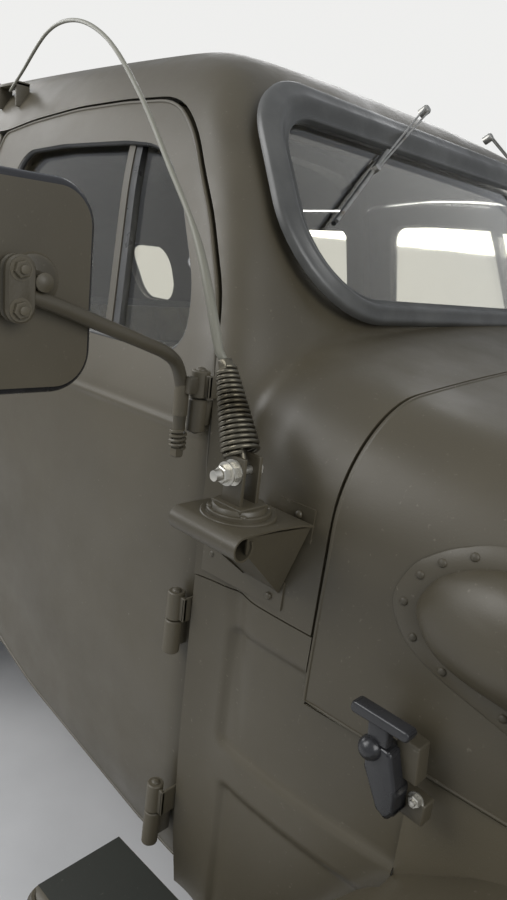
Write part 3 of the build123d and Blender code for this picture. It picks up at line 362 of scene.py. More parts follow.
def thick(points, rows, columns, normals, depth):
    """A closed sheet: a grid of points and the same grid moved inward along its normals."""
    inner = points - normals * depth
    both_layers = np.vstack([points, inner])
    count = rows * columns
    faces = grid_faces(rows, columns)
    back = [tuple(count + i for i in f[::-1]) for f in faces]
    rim = list(range(columns))
    rim += [i * columns + columns - 1 for i in range(1, rows)]
    rim += [(rows - 1) * columns + i for i in range(columns - 2, -1, -1)]
    rim += [i * columns for i in range(rows - 2, 0, -1)]
    sides = [(a, count + a, count + b, b) for a, b in zip(rim, rim[1:] + rim[:1])]
    return faced(mesh_from(both_layers, faces + back + sides), MERGE)


def grid_normals(points, rows, columns):
    """Normals of a grid, from its neighbours, pointing away from the car's middle."""
    grid = points.reshape(rows, columns, 3)
    du = np.gradient(grid, axis=0)
    dv = np.gradient(grid, axis=1)
    n = np.cross(du, dv)
    n /= np.maximum(np.linalg.norm(n, axis=2, keepdims=True), 1e-9)
    outward = np.sum(n * (grid - np.array([-200.0, 0, 900.0])), axis=2, keepdims=True)
    return (n * np.sign(outward)).reshape(-1, 3)


def skin_layer(points, rows, columns, inset, depth):
    """A closed sheet under a grid of skin points, that starts at an inset."""
    normals = grid_normals(points, rows, columns)
    return thick(points - normals * inset, rows, columns, normals, depth)


def prism(outline, y0, y1):
    """A side outline of x, z points pushed across the car, as a mesh to cut with."""
    return faced(layered([(x, y0, z) for x, z in outline], [(x, y1, z) for x, z in outline]))


def block(x0, x1, y0, y1, z0, z1):
    """A box to cut with."""
    return prism([(x0, z0), (x1, z0), (x1, z1), (x0, z1)], y0, y1)


def rounded(outline, radius, steps=6):
    """A closed outline of two-number points with round corners, of one radius or one for each corner."""
    out = []
    count = len(outline)
    radii = radius if isinstance(radius, (list, tuple)) else [radius] * count
    for i in range(count):
        radius = radii[i]
        before, here, after = (np.array(outline[(i + k) % count], float) for k in (-1, 0, 1))
        to_b, to_a = before - here, after - here
        len_b, len_a = np.linalg.norm(to_b), np.linalg.norm(to_a)
        to_b, to_a = to_b / len_b, to_a / len_a
        half = 0.5 * math.acos(max(-1, min(1, float(to_b @ to_a))))
        reach = min(radius / math.tan(half), 0.49 * len_b, 0.49 * len_a)
        r = reach * math.tan(half)
        middle = here + (to_b + to_a) / np.linalg.norm(to_b + to_a) * r / math.sin(half)
        start, end = here + to_b * reach - middle, here + to_a * reach - middle
        for s in np.linspace(0, 1, steps + 1):
            arm = start * (1 - s) + end * s
            out.append(tuple(middle + arm / np.linalg.norm(arm) * r))
    return out


def carve(mesh, tools, operation="DIFFERENCE"):
    """A mesh less other meshes, or what it shares with them."""
    target = linked("carved", mesh)
    cutters = [linked("tool", tool) for tool in tools]
    for cutter in cutters:
        change = target.modifiers.new("cut", "BOOLEAN")
        change.operation = operation
        change.object = cutter
        change.solver = "EXACT"
    made = evaluated(target)
    for used in cutters + [target]:
        bpy.data.objects.remove(used)
    made.materials.clear()
    return made


def tube_mesh(path, radius, sides=8, closed=False, taper=None):
    """A round bar along a line of points, with its ends capped."""
    path = np.array(path, float)
    count = len(path)
    if closed:
        ahead = np.roll(path, -1, axis=0) - np.roll(path, 1, axis=0)
    else:
        ahead = np.gradient(path, axis=0)
    ahead /= np.linalg.norm(ahead, axis=1, keepdims=True)
    side = np.cross(ahead[0], [0.3, 0.2, 0.93])
    side /= np.linalg.norm(side)
    points = []
    for i in range(count):
        side = side - ahead[i] * (side @ ahead[i])
        side /= np.linalg.norm(side)
        up = np.cross(ahead[i], side)
        r = radius * (taper[i] if taper is not None else 1)
        for k in range(sides):
            a = 2 * math.pi * k / sides
            points.append(path[i] + r * (math.cos(a) * side + math.sin(a) * up))
    if not closed:
        return mesh_from(points, tube_faces(count, sides))
    last = (count - 1) * sides
    seam = [(last + k, last + (k + 1) % sides, (k + 1) % sides, k) for k in range(sides)]
    return mesh_from(points, grid_faces(count, sides, True) + seam)


def turned_mesh(profile, origin, axis, sides=24):
    """A solid of revolution from (distance along, radius) points about an axis."""
    along = Vector(axis).normalized()
    side = along.orthogonal().normalized()
    up = along.cross(side)
    origin = Vector(origin)
    points = []
    for t, r in profile:
        for k in range(sides):
            a = 2 * math.pi * k / sides
            points.append(origin + along * t + (side * math.cos(a) + up * math.sin(a)) * r)
    return faced(mesh_from(points, tube_faces(len(profile), sides)), MERGE / 10)


# The smooth outer skin, as a field that is below zero inside. The names and sizes follow the CAD.
BELT = 1343
BELT_RIDGE = 2.6
TILT = math.radians(32)
SCREEN_X, SCREEN_Z = 894, 1499
SCREEN_UP = np.array([-math.sin(TILT), 0, math.cos(TILT)])
SCREEN_OUT = np.array([math.cos(TILT), 0, math.sin(TILT)])
SIDE_Z = ([300, 590, 700, 900, BELT, 1811, 2200], [655, 735, 765, 776, 776, 650, 545])
BONNET_X = [500, 1061, 1400, 1850, 2035, 2300]
BONNET_HALF = [776, 776, 730, 482, 432, 360]
TOP_X = [500, 800, 1061, 1400, 1850, 2035, 2300]
TOP_Z = [1588, 1525, 1470, 1436, 1390, 1340, 1255]


def eased(at, xs, ys, width):
    """A broken line's value with its corners rounded over a width."""
    total = 0
    for share in np.linspace(-1, 1, 9):
        total = total + np.interp(at + share * width, xs, ys)
    return total / 9


def both(a, b, r):
    """Inside two fields, with a rounded convex edge."""
    return np.minimum(np.maximum(a, b), -r) + np.hypot(np.maximum(a + r, 0), np.maximum(b + r, 0))


def either(a, b, r):
    """Inside one of two fields, with a rounded hollow between them."""
    return np.maximum(np.minimum(a, b), r) - np.hypot(np.maximum(r - a, 0), np.maximum(r - b, 0))


def step(value):
    """A smooth step from 0 to 1."""
    value = np.clip(value, 0, 1)
    return value * value * (3 - 2 * value)


def belt_ridge(points):
    """How far the belt's pressed line stands out at skin points."""
    return BELT_RIDGE * np.exp(-(((points[:, 2] - BELT) / 5.5) ** 2)) * step((845 - points[:, 0]) / 8)


def cab_field(x, y, z):
    """The cab: side, windscreen, tail and roof."""
    a = np.abs(y)
    side = (a - eased(z, *SIDE_Z, 28)) * 0.98
    screen = (x - SCREEN_X) * math.cos(TILT) + (z - SCREEN_Z) * math.sin(TILT)
    front = both(screen, x - 900.0, 60)
    rear = both(-0.518 * (x + 1230) + 0.855 * (z - 1811), -0.78 * (x + 1745) + 0.625 * (z - 1499), 45)
    rear = both(rear, -x - eased(z, [300, 590, 900, 2000], [1860, 1880, 1900, 1885], 60), 45)
    ahead = np.maximum(x + 125, 0) / 824
    behind = np.maximum(-x - 125, 0) / 1105
    long_share = np.minimum(ahead + behind, 1.6)
    wide = np.minimum(a / 650, 1.6)
    edge = (np.maximum(ahead, 0) ** 21 + np.minimum(behind, 1.12) ** 12 + wide**22) ** (1 / 3)
    roof = (z - 1957 + 20 * (long_share**2 + wide**2) + 126 * edge) * 0.8
    out = both(side, front, 85)
    out = both(out, rear, 240)
    return both(out, roof, 60)


def bonnet_field(x, y, z):
    """The bonnet with the cowl behind it and the nose in front."""
    a = np.abs(y)
    half = eased(x, BONNET_X, BONNET_HALF, 80)
    top = eased(x, TOP_X, TOP_Z, 70) - 51 * (a / half) ** 2
    lean = 0.035 * np.maximum(z - 1100, 0)
    radius = 100 + 28 * np.clip((x - 800) / 261, 0, 1)
    return both(a - half + lean, (z - top) * 0.985, radius)


def body_field(x, y, z):
    """The cab joined softly to the cowl."""
    fade = 30 * step((975 - x) / 115) * step((np.abs(y) - 600) / 110)
    cowl = both(bonnet_field(x, y, z) + fade, 480.0 - x, 60)
    return either(cab_field(x, y, z), cowl, 95)


def cast(field, centre, towards):
    """Where rays from inside leave a field. One centre may serve many directions, or one direction many."""
    centre, towards = np.broadcast_arrays(np.array(centre, float), np.array(towards, float))
    low = np.full(len(centre), 0.05)
    high = np.full(len(centre), 2600.0)
    for _ in range(34):
        middle = 0.5 * (low + high)
        p = centre + towards * middle[:, None]
        inside = field(p[:, 0], p[:, 1], p[:, 2]) < 0
        low = np.where(inside, middle, low)
        high = np.where(inside, high, middle)
    return centre + towards * (0.5 * (low + high))[:, None]


def beside(field, points):
    """Where level rays toward the car's left leave a field."""
    return cast(field, points, LEFT)


def spread(parts):
    """Places along a line, from (start, end, steps) parts."""
    out = [parts[0][0]]
    for start, end, steps in parts:
        out += list(np.linspace(start, end, steps + 1)[1:])
    return np.array(out)


def skin_grid(field, columns, rise, foot):
    """A grid of skin points. A column is (centre x, plan angle); rise holds the rays' angles, up to 90."""
    points = []
    for x, plan, foot_z in columns:
        way = np.array([math.cos(plan), math.sin(plan), 0.0])
        if abs(way[0]) < 1e-9:
            way[0] = 0
        low = cast(field, [[x, 0, foot_z]], way)[0]
        start = math.atan2(foot_z - foot, math.hypot(low[0] - x, low[1]))
        angles = np.where(rise < 0, rise / rise[0] * start, rise)
        towards = np.outer(np.cos(angles), way) + np.outer(np.sin(angles), [0, 0, 1.0])
        points.append(cast(field, [x, 0, foot], towards))
    return np.vstack(points)


CENTRE_Z = 1100.0
PANEL_DEPTH, EDGE_R, GASKET_R = 34, 3.2, 6
SIDE_CUT = (400, 1000)
rays = np.radians(spread([(-35, 0, 7), (0, 16, 6), (16, 54, 44), (54, 90, 14)]))
cab_columns = [(x, math.pi / 2, 590) for x in spread([(1061, 620, 38), (620, -1300, 64)])]
cab_columns += [(-1300, a, 590) for a in np.linspace(math.pi / 2, math.pi, 25)[1:]]
cab_points = skin_grid(body_field, cab_columns, rays, CENTRE_Z)
cab_points[-len(rays):, 1] = 0
cab_normals = grid_normals(cab_points, len(cab_columns), len(rays))
cab_normals[len(rays) - 1 :: len(rays)] = UP
cab_normals[cab_points[:, 0] > 1060.5, 0] = 0
cab_points[:, 1] += belt_ridge(cab_points) * step((cab_points[:, 1] - 500) / 100)
cab_half = thick(cab_points, len(cab_columns), len(rays), cab_normals, PANEL_DEPTH)

# Outlines in side view, as in the CAD, each with the radii of its corners
FRONT_DOOR = [
    (850, 605), (850, BELT), (789, 1516), (721, 1627), (622, 1749), (544, 1803), (400, 1808),
    (250, 1805), (90, 1789), (-12, 1771), (-12, 838), (210, 735), (364, 677), (506, 650), (720, 611),
]
FRONT_DOOR_R = [10, 500, 500, 500, 300, 500, 900, 900, 900, 20, 14, 300, 300, 300, 200]
REAR_DOOR = [
    (-25, 842), (-25, 1770), (-640, 1752), (-690, 1690), (-700, BELT), (-700, 1012), (-618, 930),
    (-596, 890), (-300, 880),
]
REAR_DOOR_R = [10, 20, 70, 60, 300, 60, 40, 30, 300]
DOOR_OPENING = [
    (858, 500), (858, BELT + 1), (797, 1520), (728, 1632), (628, 1756), (548, 1811), (400, 1816),
    (250, 1813), (89, 1797), (-13, 1779), (-645, 1760), (-698, 1692), (-708, BELT), (-708, 500),
]
DOOR_OPENING_R = [5, 500, 500, 500, 300, 500, 900, 900, 900, 300, 72, 60, 300, 5]
FRONT_WINDOW = [
    (752, 1430), (738, 1523), (642, 1665), (562, 1732), (454, 1741), (250, 1741), (98, 1731), (98, 1430),
]
FRONT_WINDOW_R = [40, 300, 300, 300, 200, 500, 48, 30]
REAR_WINDOW = [(-92, 1430), (-92, 1712), (-570, 1700), (-606, 1660), (-612, 1430)]
REAR_WINDOW_R = [30, 40, 60, 50, 30]
QUARTER_WINDOW = [(-1150, 1325), (-1150, 1585), (-1470, 1585), (-1470, 1325)]
BACK_WINDOW = (330, 1520, 1680)
REAR_WING = [(-1690, 760), (-1600, 930), (-1460, 1030), (-760, 1030), (-640, 940), (-520, 700)]


def screen_outline(half_low, half_high, v0, v1, corner, depth):
    """A rounded outline on the windscreen's plane, at a depth along its normal."""
    low, high = corner
    flat = rounded([(-half_low, v0), (half_low, v0), (half_high, v1), (-half_high, v1)],
                   (low, low, high, high), 14)
    base = np.array([SCREEN_X, 0, SCREEN_Z], float)
    return [base + SCREEN_UP * v + np.array([0, y, 0]) + SCREEN_OUT * depth for y, v in flat]


def screen_cutter():
    """The windscreen opening as a mesh to cut with."""
    return faced(layered(*(screen_outline(618, 581, 34, 351, (122, 92), d) for d in (-150, 60))))


quarter = rounded(QUARTER_WINDOW, 110, 10)
housing = [(REAR_WING[0][0], 500)] + REAR_WING + [(REAR_WING[-1][0], 500)]
tools = [
    prism(rounded(DOOR_OPENING, DOOR_OPENING_R, 5), *SIDE_CUT),
    prism(quarter, *SIDE_CUT),
    prism(housing, 610, 1000),
    block(-2100, -1689, 0, 1000, 480, 760),
    block(-2100, -1200, -10, BACK_WINDOW[0], *BACK_WINDOW[1:]),
    block(857, 1100, 500, 1000, 480, 1151),
    screen_cutter(),
]
cab_half = carve(cab_half, tools)
cab = join([cab_half, mirrored(cab_half)])
finish_piece(cab, "cab_skin", "car", olive, 40, "body_shell")


def skin_sheet(xs, zs, inset, depth, ridge=False):
    """A closed sheet under the cab's side, from its outer face at an inset to a depth."""
    points = beside(cab_field, [(x, 0, z) for x in xs for z in zs])
    normals = grid_normals(points, len(xs), len(zs))
    if ridge:
        points[:, 1] += belt_ridge(points)
    return thick(points - normals * inset, len(xs), len(zs), normals, depth)


def side_line(outline, depth):
    """A side outline laid under the cab's skin, as a closed line of points about 16 mm apart."""
    out = []
    for (x0, z0), (x1, z1) in zip(outline, outline[1:] + outline[:1]):
        count = max(1, int(math.hypot(x1 - x0, z1 - z0) / 16))
        for k in range(count):
            out.append((x0 + (x1 - x0) * k / count, 0, z0 + (z1 - z0) * k / count))
    out = beside(cab_field, out)
    out[:, 1] -= depth
    return out


def pane_mesh(outline, depth=17, thickness=5):
    """Curved glass that fills a side outline."""
    xs, zs = [x for x, z in outline], [z for x, z in outline]
    across = np.linspace(min(xs) - 8, max(xs) + 8, 14)
    up = np.linspace(min(zs) - 8, max(zs) + 8, 14)
    return carve(skin_sheet(across, up, depth, thickness), [prism(outline, *SIDE_CUT)], "INTERSECT")


DOOR_ROWS = spread([(590, 1320, 30), (1320, 1366, 16), (1366, 1822, 30)])
for place, outline, outline_r, window, window_r, x0, x1 in (
    ("front", FRONT_DOOR, FRONT_DOOR_R, FRONT_WINDOW, FRONT_WINDOW_R, -12, 850),
    ("rear", REAR_DOOR, REAR_DOOR_R, REAR_WINDOW, REAR_WINDOW_R, -700, -25),
):
    edge, light = rounded(outline, outline_r, 5), rounded(window, window_r, 6)
    panel = skin_sheet(np.linspace(x0 - 12, x1 + 12, int((x1 - x0) / 15)), DOOR_ROWS, 0, PANEL_DEPTH, True)
    panel = carve(carve(panel, [prism(edge, *SIDE_CUT)], "INTERSECT"), [prism(light, *SIDE_CUT)])
    bead = tube_mesh(side_line(edge, 1.0), EDGE_R, 8, True)
    gasket = tube_mesh(side_line(light, 7), GASKET_R, 8, True)
    glass = pane_mesh(light)
    body = f"door_{place}_{{}}"
    pair(f"door_skin_{place}", join([panel, bead]), body, olive, 40, body)
    pair(f"window_seal_{place}", gasket, body, black_rubber, 0)
    pair(f"window_pane_{place}", glass, body, window_glass, 30, f"door_glass_{place}_{{}}")

# Quarter windows and the window in the tail
pair("quarter_pane", pane_mesh(quarter), "car", window_glass, 30, "fixed_glass")
pair("quarter_seal", tube_mesh(side_line(quarter, 2), 8, 8, True), "car", black_rubber, 0)


def tail_points(places):
    """Points of the tail's skin from y, z places."""
    return cast(cab_field, [(-1000, y, z) for y, z in places], (-1, 0, 0))


half, low, high = BACK_WINDOW
ys, zs = np.linspace(-half, half, 13), np.linspace(low, high, 7)
face = tail_points([(y, z) for y in ys for z in zs])
finish_piece(skin_layer(face, len(ys), len(zs), 14, 5), "back_pane", "car", window_glass, 30)
ring = [(-half, low), (half, low), (half, high), (-half, high)]
line = []
for (y0, z0), (y1, z1) in zip(ring, ring[1:] + ring[:1]):
    line += [(y0 + (y1 - y0) * t, z0 + (z1 - z0) * t) for t in np.linspace(0, 1, 12, endpoint=False)]
finish_piece(tube_mesh(tail_points(line), 9, 8, True), "back_seal", "car", black_rubber, 0)

# Bonnet halves
bonnet_rays = np.radians(spread([(-3, 0, 1), (0, 12, 8), (12, 34, 30), (34, 88, 34)]))


def edge_z(x):
    """Height of the bonnet's lower edge."""
    return 1067 + (x - 1061) / 789 * (1030 - 1067)


def bonnet_grid(xs):
    """Skin points of the left bonnet half from its lower edge to the middle split."""
    points = []
    for x in xs:
        foot = edge_z(x)
        low = cast(bonnet_field, [[x, 0, foot]], LEFT)[0]
        start = math.atan2(foot - 1040, low[1])
        shares = (bonnet_rays - bonnet_rays[0]) / (bonnet_rays[-1] - bonnet_rays[0])
        top = cast(bonnet_field, [[x, 3.5, 1040]], UP)[0]
        end = math.atan2(top[2] - 1040, 3.5)
        angles = start + (end - start) * shares
        towards = np.stack([0 * angles, np.cos(angles), np.sin(angles)], axis=1)
        points.append(cast(bonnet_field, [x, 0, 1040], towards))
    return np.vstack(points)


bonnet_x = spread([(1067, 1844, 46)])
bonnet_points = bonnet_grid(bonnet_x)
bonnet_half = skin_layer(bonnet_points, len(bonnet_x), len(bonnet_rays), 0, 14)
grid = bonnet_points.reshape(len(bonnet_x), len(bonnet_rays), 3)
loop = np.vstack([grid[0], grid[1:, -1], grid[-1, -2::-1], grid[-2:0:-1, 0]])
bonnet_bead = tube_mesh(loop - np.array([0, 0.8, 0.8]), 2.6, 8, True)
pair("bonnet_skin", join([bonnet_half, bonnet_bead]), "bonnet_{}", olive, 40, "bonnet_{}")

# Windscreen rubber
RUBBER_SECTION = [
    (0.0, -6), (0.0, 3), (0.03, 5), (0.07, 4.6), (0.1, 3.4), (0.16, 4.5), (0.26, 8), (0.36, 12),
    (0.43, 13.6), (0.5, 13.8), (0.57, 12.4), (0.68, 9.5), (0.82, 7.5), (0.93, 6), (1.0, 2.5), (1.0, -6),
]


def windscreen_rubber():
    """The windscreen's broad rubber, from its inner to its outer outline."""
    inner = np.array(screen_outline(610, 573, 42, 343, (116, 88), 0))
    outer = np.array(screen_outline(668, 612, 4, 410, (165, 135), 0))
    points = [inner * (1 - share) + outer * share + SCREEN_OUT * lift for share, lift in RUBBER_SECTION]
    return mesh_from(np.vstack(points), grid_faces(len(points), len(inner), True))


finish_piece(windscreen_rubber(), "windscreen_rubber_smooth", "car", screen_rubber, 0, "windscreen_rubber")
glass = layered(*(screen_outline(614, 577, 38, 347, (120, 90), d) for d in (-14, -9)))
finish_piece(glass, "windscreen_pane", "car", window_glass, 30, "windscreen_glass")

# Small shapes for the details


def box_mesh(x0, x1, y0, y1, z0, z1, round_by):
    """A box with its edges rounded."""
    return bevelled(block(x0, x1, y0, y1, z0, z1), round_by)


def moved(mesh, matrix):
    """The same mesh, moved."""
    made = mesh.copy()
    made.transform(matrix)
    return made


def curve_steps(a, b, c, d, steps):
    """Points of a smooth curve from b to c, between their neighbours a and d."""
    return [
        0.5 * (2 * b + (c - a) * t + (2 * a - 5 * b + 4 * c - d) * t**2 + (3 * b - a - 3 * c + d) * t**3)
        for t in np.linspace(0, 1, steps, endpoint=False)
    ]


def smooth_path(points, steps=8):
    """A curve through points."""
    points = [np.array(p, float) for p in points]
    padded = [2 * points[0] - points[1]] + points + [2 * points[-1] - points[-2]]
    out = []
    for four in zip(padded, padded[1:], padded[2:], padded[3:]):
        out += curve_steps(*four, steps)
    return out + [points[-1]]


def bolt(place, axis, radius, head):
    """A hexagon nut or bolt head, with its washer and a domed end."""
    nut = [(1.5, 0), (1.5, radius), (head, radius), (head + 1, radius * 0.85), (head + 1, 0)]
    washer = [(0, 0), (0, radius * 1.35), (1.5, radius * 1.35), (1.5, 0)]
    end = [(head, 0), (head, radius * 0.55), (head + 4, radius * 0.5), (head + 5, 0)]
    parts = ((nut, 6), (washer, 20), (end, 14))
    return join([turned_mesh(profile, place, axis, sides) for profile, sides in parts])


def rivet(place, axis, radius):
    """A domed rivet head."""
    high = radius * 0.62
    dome = [(high * math.sin(a), radius * math.cos(a)) for a in np.linspace(0, 1.5, 6)]
    return turned_mesh([(-1, 0), (-1, radius)] + dome + [(high, 0)], place, axis, 14)


def skin_at(field, x, z):
    """The point of a skin beside the car's middle plane at x, z, and the skin's normal there."""
    near = ((0, 0), (4, 0), (-4, 0), (0, 4), (0, -4))
    p, *around = beside(field, [(x + dx, 0, z + dz) for dx, dz in near])
    n = np.cross(around[0] - around[1], around[2] - around[3])
    n = n / np.linalg.norm(n)
    return p, n if n[1] > 0 else -n


# Cowl side below its seam, with two pressed panels
PRESSED = [(923, 1420, 912, 1106), (937, 1420, 520, 863)]
PRESS_DEPTH = 6.5


def pressed(x, z):
    """How far the cowl side is pushed in."""
    depth = 0
    for x0, x1, z0, z1 in PRESSED:
        dx = np.maximum(x0 + 20 - x, x - x1 + 20)
        dz = np.maximum(z0 + 20 - z, z - z1 + 20)
        gap = np.hypot(np.maximum(dx, 0), np.maximum(dz, 0)) + np.minimum(np.maximum(dx, dz), 0) - 20
        depth = depth + PRESS_DEPTH * step(-gap / 13)
    return depth


side_x = spread([(860, 1213, 62)])
side_z = spread([(600, 1149, 96)])
panel = beside(body_field, [(x, 0, z) for x in side_x for z in side_z])
panel[:, 1] -= pressed(panel[:, 0], panel[:, 2])
panel = skin_layer(panel, len(side_x), len(side_z), 0, 3)
panel = carve(panel, [block(1063, 1300, 500, 1000, 1055, 1200)])
pair("cowl_side_pressed", panel, "car", olive, 50)

# Door hinges
HINGE_Z = [(1349, 1430), (1021, 1116), (685, 794)]
HINGE_R = 12.5


def hinge_point(x, z):
    """A point on a door's leaning hinge line."""
    return np.array([x, 803 + (z - 737) * (786 - 803) / (1390 - 737), z])


def knuckle_tube(low, high):
    """One round half of a hinge, with its pin's head."""
    low, high = Vector(low), Vector(high)
    tall = (high - low).length
    r = HINGE_R
    section = [(0, 0), (0, r - 1.5), (1.5, r), (tall - 1.5, r), (tall, r - 1.5), (tall, 0)]
    return turned_mesh(section, low, high - low, 24)


def hinge_halves(edge_x, low, high, gap):
    """The lower half on the door and the upper half on the pillar."""
    x = edge_x - 14.5
    middle = low + 0.55 * (high - low)
    y = hinge_point(x, middle)[1]
    lower = [knuckle_tube(hinge_point(x, low), hinge_point(x, middle - 1))]
    lower.append(rivet(tuple(hinge_point(x, low)), (0, 0, -1), 6))
    lower.append(box_mesh(x, edge_x - 8, y - 3, y + 2, low + 3, middle - 3, 1.5))
    lower.append(box_mesh(x - 20, x + 4, y - 34, y - 6, low + 6, middle - 5, 2))
    upper = [knuckle_tube(hinge_point(x, middle + 1), hinge_point(x, high))]
    upper.append(rivet(tuple(hinge_point(x, high)), UP, 7))
    upper.append(box_mesh(x, edge_x + gap - 1, y - 4, y + 2, middle + 3, high - 4, 1.5))
    upper.append(box_mesh(edge_x + gap - 5, edge_x + gap - 1, y - 45, y + 2, middle + 3, high - 4, 1))
    return join(lower), join(upper)


for place, edge_x, heights, gap in (("front", 850, HINGE_Z, 8), ("rear", -25, HINGE_Z[:2], 5)):
    for k, (low, high) in enumerate(heights):
        on_door, on_body = hinge_halves(edge_x, low, high, gap)
        pair(f"hinge_door_half_{place}_{k}", on_door, f"door_{place}_{{}}", olive_rough)
        pair(f"hinge_body_half_{place}_{k}", on_body, "car", olive_rough)

# Window channel in the front door: a painted flat bar with black felt beside it


def slanting_bar(x0, x1, lift, depth):
    """A bar down the front window, between two distances from its middle line."""
    rows = []
    for t in np.linspace(0, 1, 12):
        p = skin_at(cab_field, 563 - 92 * t, 1424 + 322 * t)[0]
        rows += [p + np.array([x, -lift - d, 0]) for x, d in ((x0, 0), (x1, 0), (x1, depth), (x0, depth))]
    return mesh_from(rows, tube_faces(12, 4))


pair("window_bar", slanting_bar(-20, -3, 9, 14), "door_front_{}", olive_rough, 30)
pair("window_felt", slanting_bar(-2, 15, 11, 12), "door_front_{}", black_rubber, 30)

# Aerial bracket: folded sheet with a rolled lip, side gussets, stepped disc, clevis and bolts
BASE_X, BASE_Y, CLEVIS_Z, DISC_Z = 993, 848, 1350, 1297
SHEET = 2.2


def sheet_strip(profile, x0, x1, thickness=SHEET):
    """A bent sheet: a y, z path pushed along the car."""
    path = np.array(profile, float)
    ahead = np.gradient(path, axis=0)
    ahead /= np.linalg.norm(ahead, axis=1, keepdims=True)
    other = path + np.stack([-ahead[:, 1], ahead[:, 0]], axis=1) * thickness
    count = len(path)
    ring_points = list(path) + list(other[::-1])
    points = [(x, y, z) for x in (x0, x1) for y, z in ring_points]
    total = 2 * count
    faces = [(i, (i + 1) % total, (i + 1) % total + total, i + total) for i in range(total)]
    for i in range(count - 1):
        faces.append((i, total - 1 - i, total - 2 - i, i + 1))
        faces.append((total + i, total + i + 1, 2 * total - 2 - i, 2 * total - 1 - i))
    return faced(mesh_from(points, faces))


LIP_Y, LIP_Z, LIP_R = 891, 1286, 12
curl = np.radians(np.arange(90, -230, -20))
lip = [(LIP_Y + LIP_R * math.cos(a), LIP_Z + LIP_R * math.sin(a)) for a in curl]
top_sheet = sheet_strip([(779, 1288), (800, 1293), (840, 1297), (870, 1298)] + lip, 940, 1049)


def quad_sheet(corners, inward, depth=SHEET):
    """A thin four-cornered sheet, thick towards a direction."""
    front = [np.array(c, float) for c in corners]
    back = [c + np.array(inward, float) * depth for c in front]
    return faced(layered(front, back))


slope = quad_sheet([(943, 880, 1282), (1046, 880, 1282), (1006, 776, 1186), (943, 776, 1186)],
                   (0, -0.7, 0.7))
front_side = quad_sheet([(1044, 778, 1287), (1046, 884, 1297), (1046, 884, 1278), (1006, 776, 1184)],
                        (-1, 0, 0))
rear_side = quad_sheet([(943, 778, 1287), (943, 884, 1297), (943, 884, 1278), (943, 776, 1184)], AHEAD)
disc = turned_mesh([(0, 0), (0, 44), (4, 44), (5, 43), (5, 37), (9, 37), (10, 36), (10, 32), (14, 31),
                    (15, 30), (15, 0)],
                   (BASE_X, BASE_Y, DISC_Z), UP, 40)
clevis = [box_mesh(BASE_X - 15, BASE_X + 15, y - 2.5, y + 2.5, 1310, 1368, 1)
          for y in (BASE_Y - 12, BASE_Y + 12)]
foot = box_mesh(BASE_X - 24, BASE_X + 24, BASE_Y - 22, BASE_Y + 22, 1309, 1314, 1)
flange = []
for x0, x1, z0, z1 in ((985, 1040, 1262, 1304), (870, 1012, 1162, 1200)):
    places = ((x0, z0), (x1, z0), (x1, z1), (x0, z1))
    corners = [skin_at(body_field, x, z)[0] + np.array([0, SHEET, 0]) for x, z in places]
    back = [c - np.array([0, 6, 0]) for c in corners]
    flange.append(layered(corners, back))
RIVETS = [(1018, 1292), (886, 1190), (946, 1178), (991, 1174)]
studs = []
for x, z in RIVETS:
    p, n = skin_at(body_field, x, z)
    studs.append(rivet(tuple(p + n * 4), tuple(n), 5))
for a in np.radians((35, 125, 215, 305)):
    studs.append(rivet((BASE_X + 33 * math.cos(a), BASE_Y + 33 * math.sin(a), 1307), UP, 4))
bracket = join([top_sheet, slope, front_side, rear_side, disc, foot] + clevis + flange + studs)
pair("aerial_bracket_folded", bracket, "car", olive, 35, "aerial_brackets")
posts = [box_mesh(x, x + 6, 600, 630, 1830, 1880, 1) for x in (-100, -20)]
pair("aerial_roof_frame", join(posts + [box_mesh(-100, -14, 600, 630, 1872, 1878, 1)]), "car", olive, 35)
cross = turned_mesh([(-26, 0), (-26, 6), (26, 6), (26, 0)], (BASE_X, BASE_Y, CLEVIS_Z), LEFT, 16)
ends = [bolt((BASE_X, BASE_Y + 15, CLEVIS_Z), LEFT, 11, 9),
        bolt((BASE_X, BASE_Y + 25, CLEVIS_Z), LEFT, 10, 9),
        turned_mesh([(36, 0), (36, 6.5), (44, 6), (45, 0)], (BASE_X, BASE_Y, CLEVIS_Z), LEFT, 16),
        bolt((BASE_X, BASE_Y - 15, CLEVIS_Z), (0, -1, 0), 10, 7)]
pair("aerial_cross_bolt", join([cross] + ends), "car", zinc, 30)

# Aerial spring, rod and whip
AERIAL_PATH = [
    (925, 833, 1455), (847, 817, 1584), (748, 796, 1680), (641, 774, 1777),
    (517, 749, 1862), (372, 719, 1914), (222, 688, 1924), (54, 652, 1883), (-60, 622, 1864),
]
low, high = Vector((993, 847, 1352)), Vector((934, 834, 1453))
along = (high - low).normalized()
side = along.orthogonal().normalized()
over = along.cross(side)
TURNS, COIL_START, COIL_END, WIRE_R = 17, 16, 117, 2.6
COIL_R, COIL_TOP_R, WHIP_R = 21, 10.5, 3.6
coil = []
for t in np.linspace(0, 1, TURNS * 20 + 1):
    a = 2 * math.pi * TURNS * t
    r = COIL_R + (COIL_TOP_R - COIL_R) * min(1, t * 1.02) ** 1.15 - 2.5 * max(0, 1 - t * 14)
    outward = side * math.cos(a) + over * math.sin(a)
    coil.append(low + along * (COIL_START + t * (COIL_END - COIL_START)) + outward * r)
spring = tube_mesh(coil, WIRE_R, 8)
core = turned_mesh([(0, 0), (0, 5.5), (COIL_START, 5.5), (COIL_START, 13), (COIL_END - 4, 6),
                    (COIL_END - 4, 0)], low + along * 6, along, 16)
nut = turned_mesh([(0, 0), (0, 9.5), (11, 9.5), (12, 8.5), (12, 0)], low + along * (COIL_END - 2), along, 6)
pair("aerial_spring", join([spring, core, nut]), "car", spring_paint, 50, "aerial_whips")
whip_path = smooth_path(AERIAL_PATH, 10)
start = low + along * (COIL_END + 8)
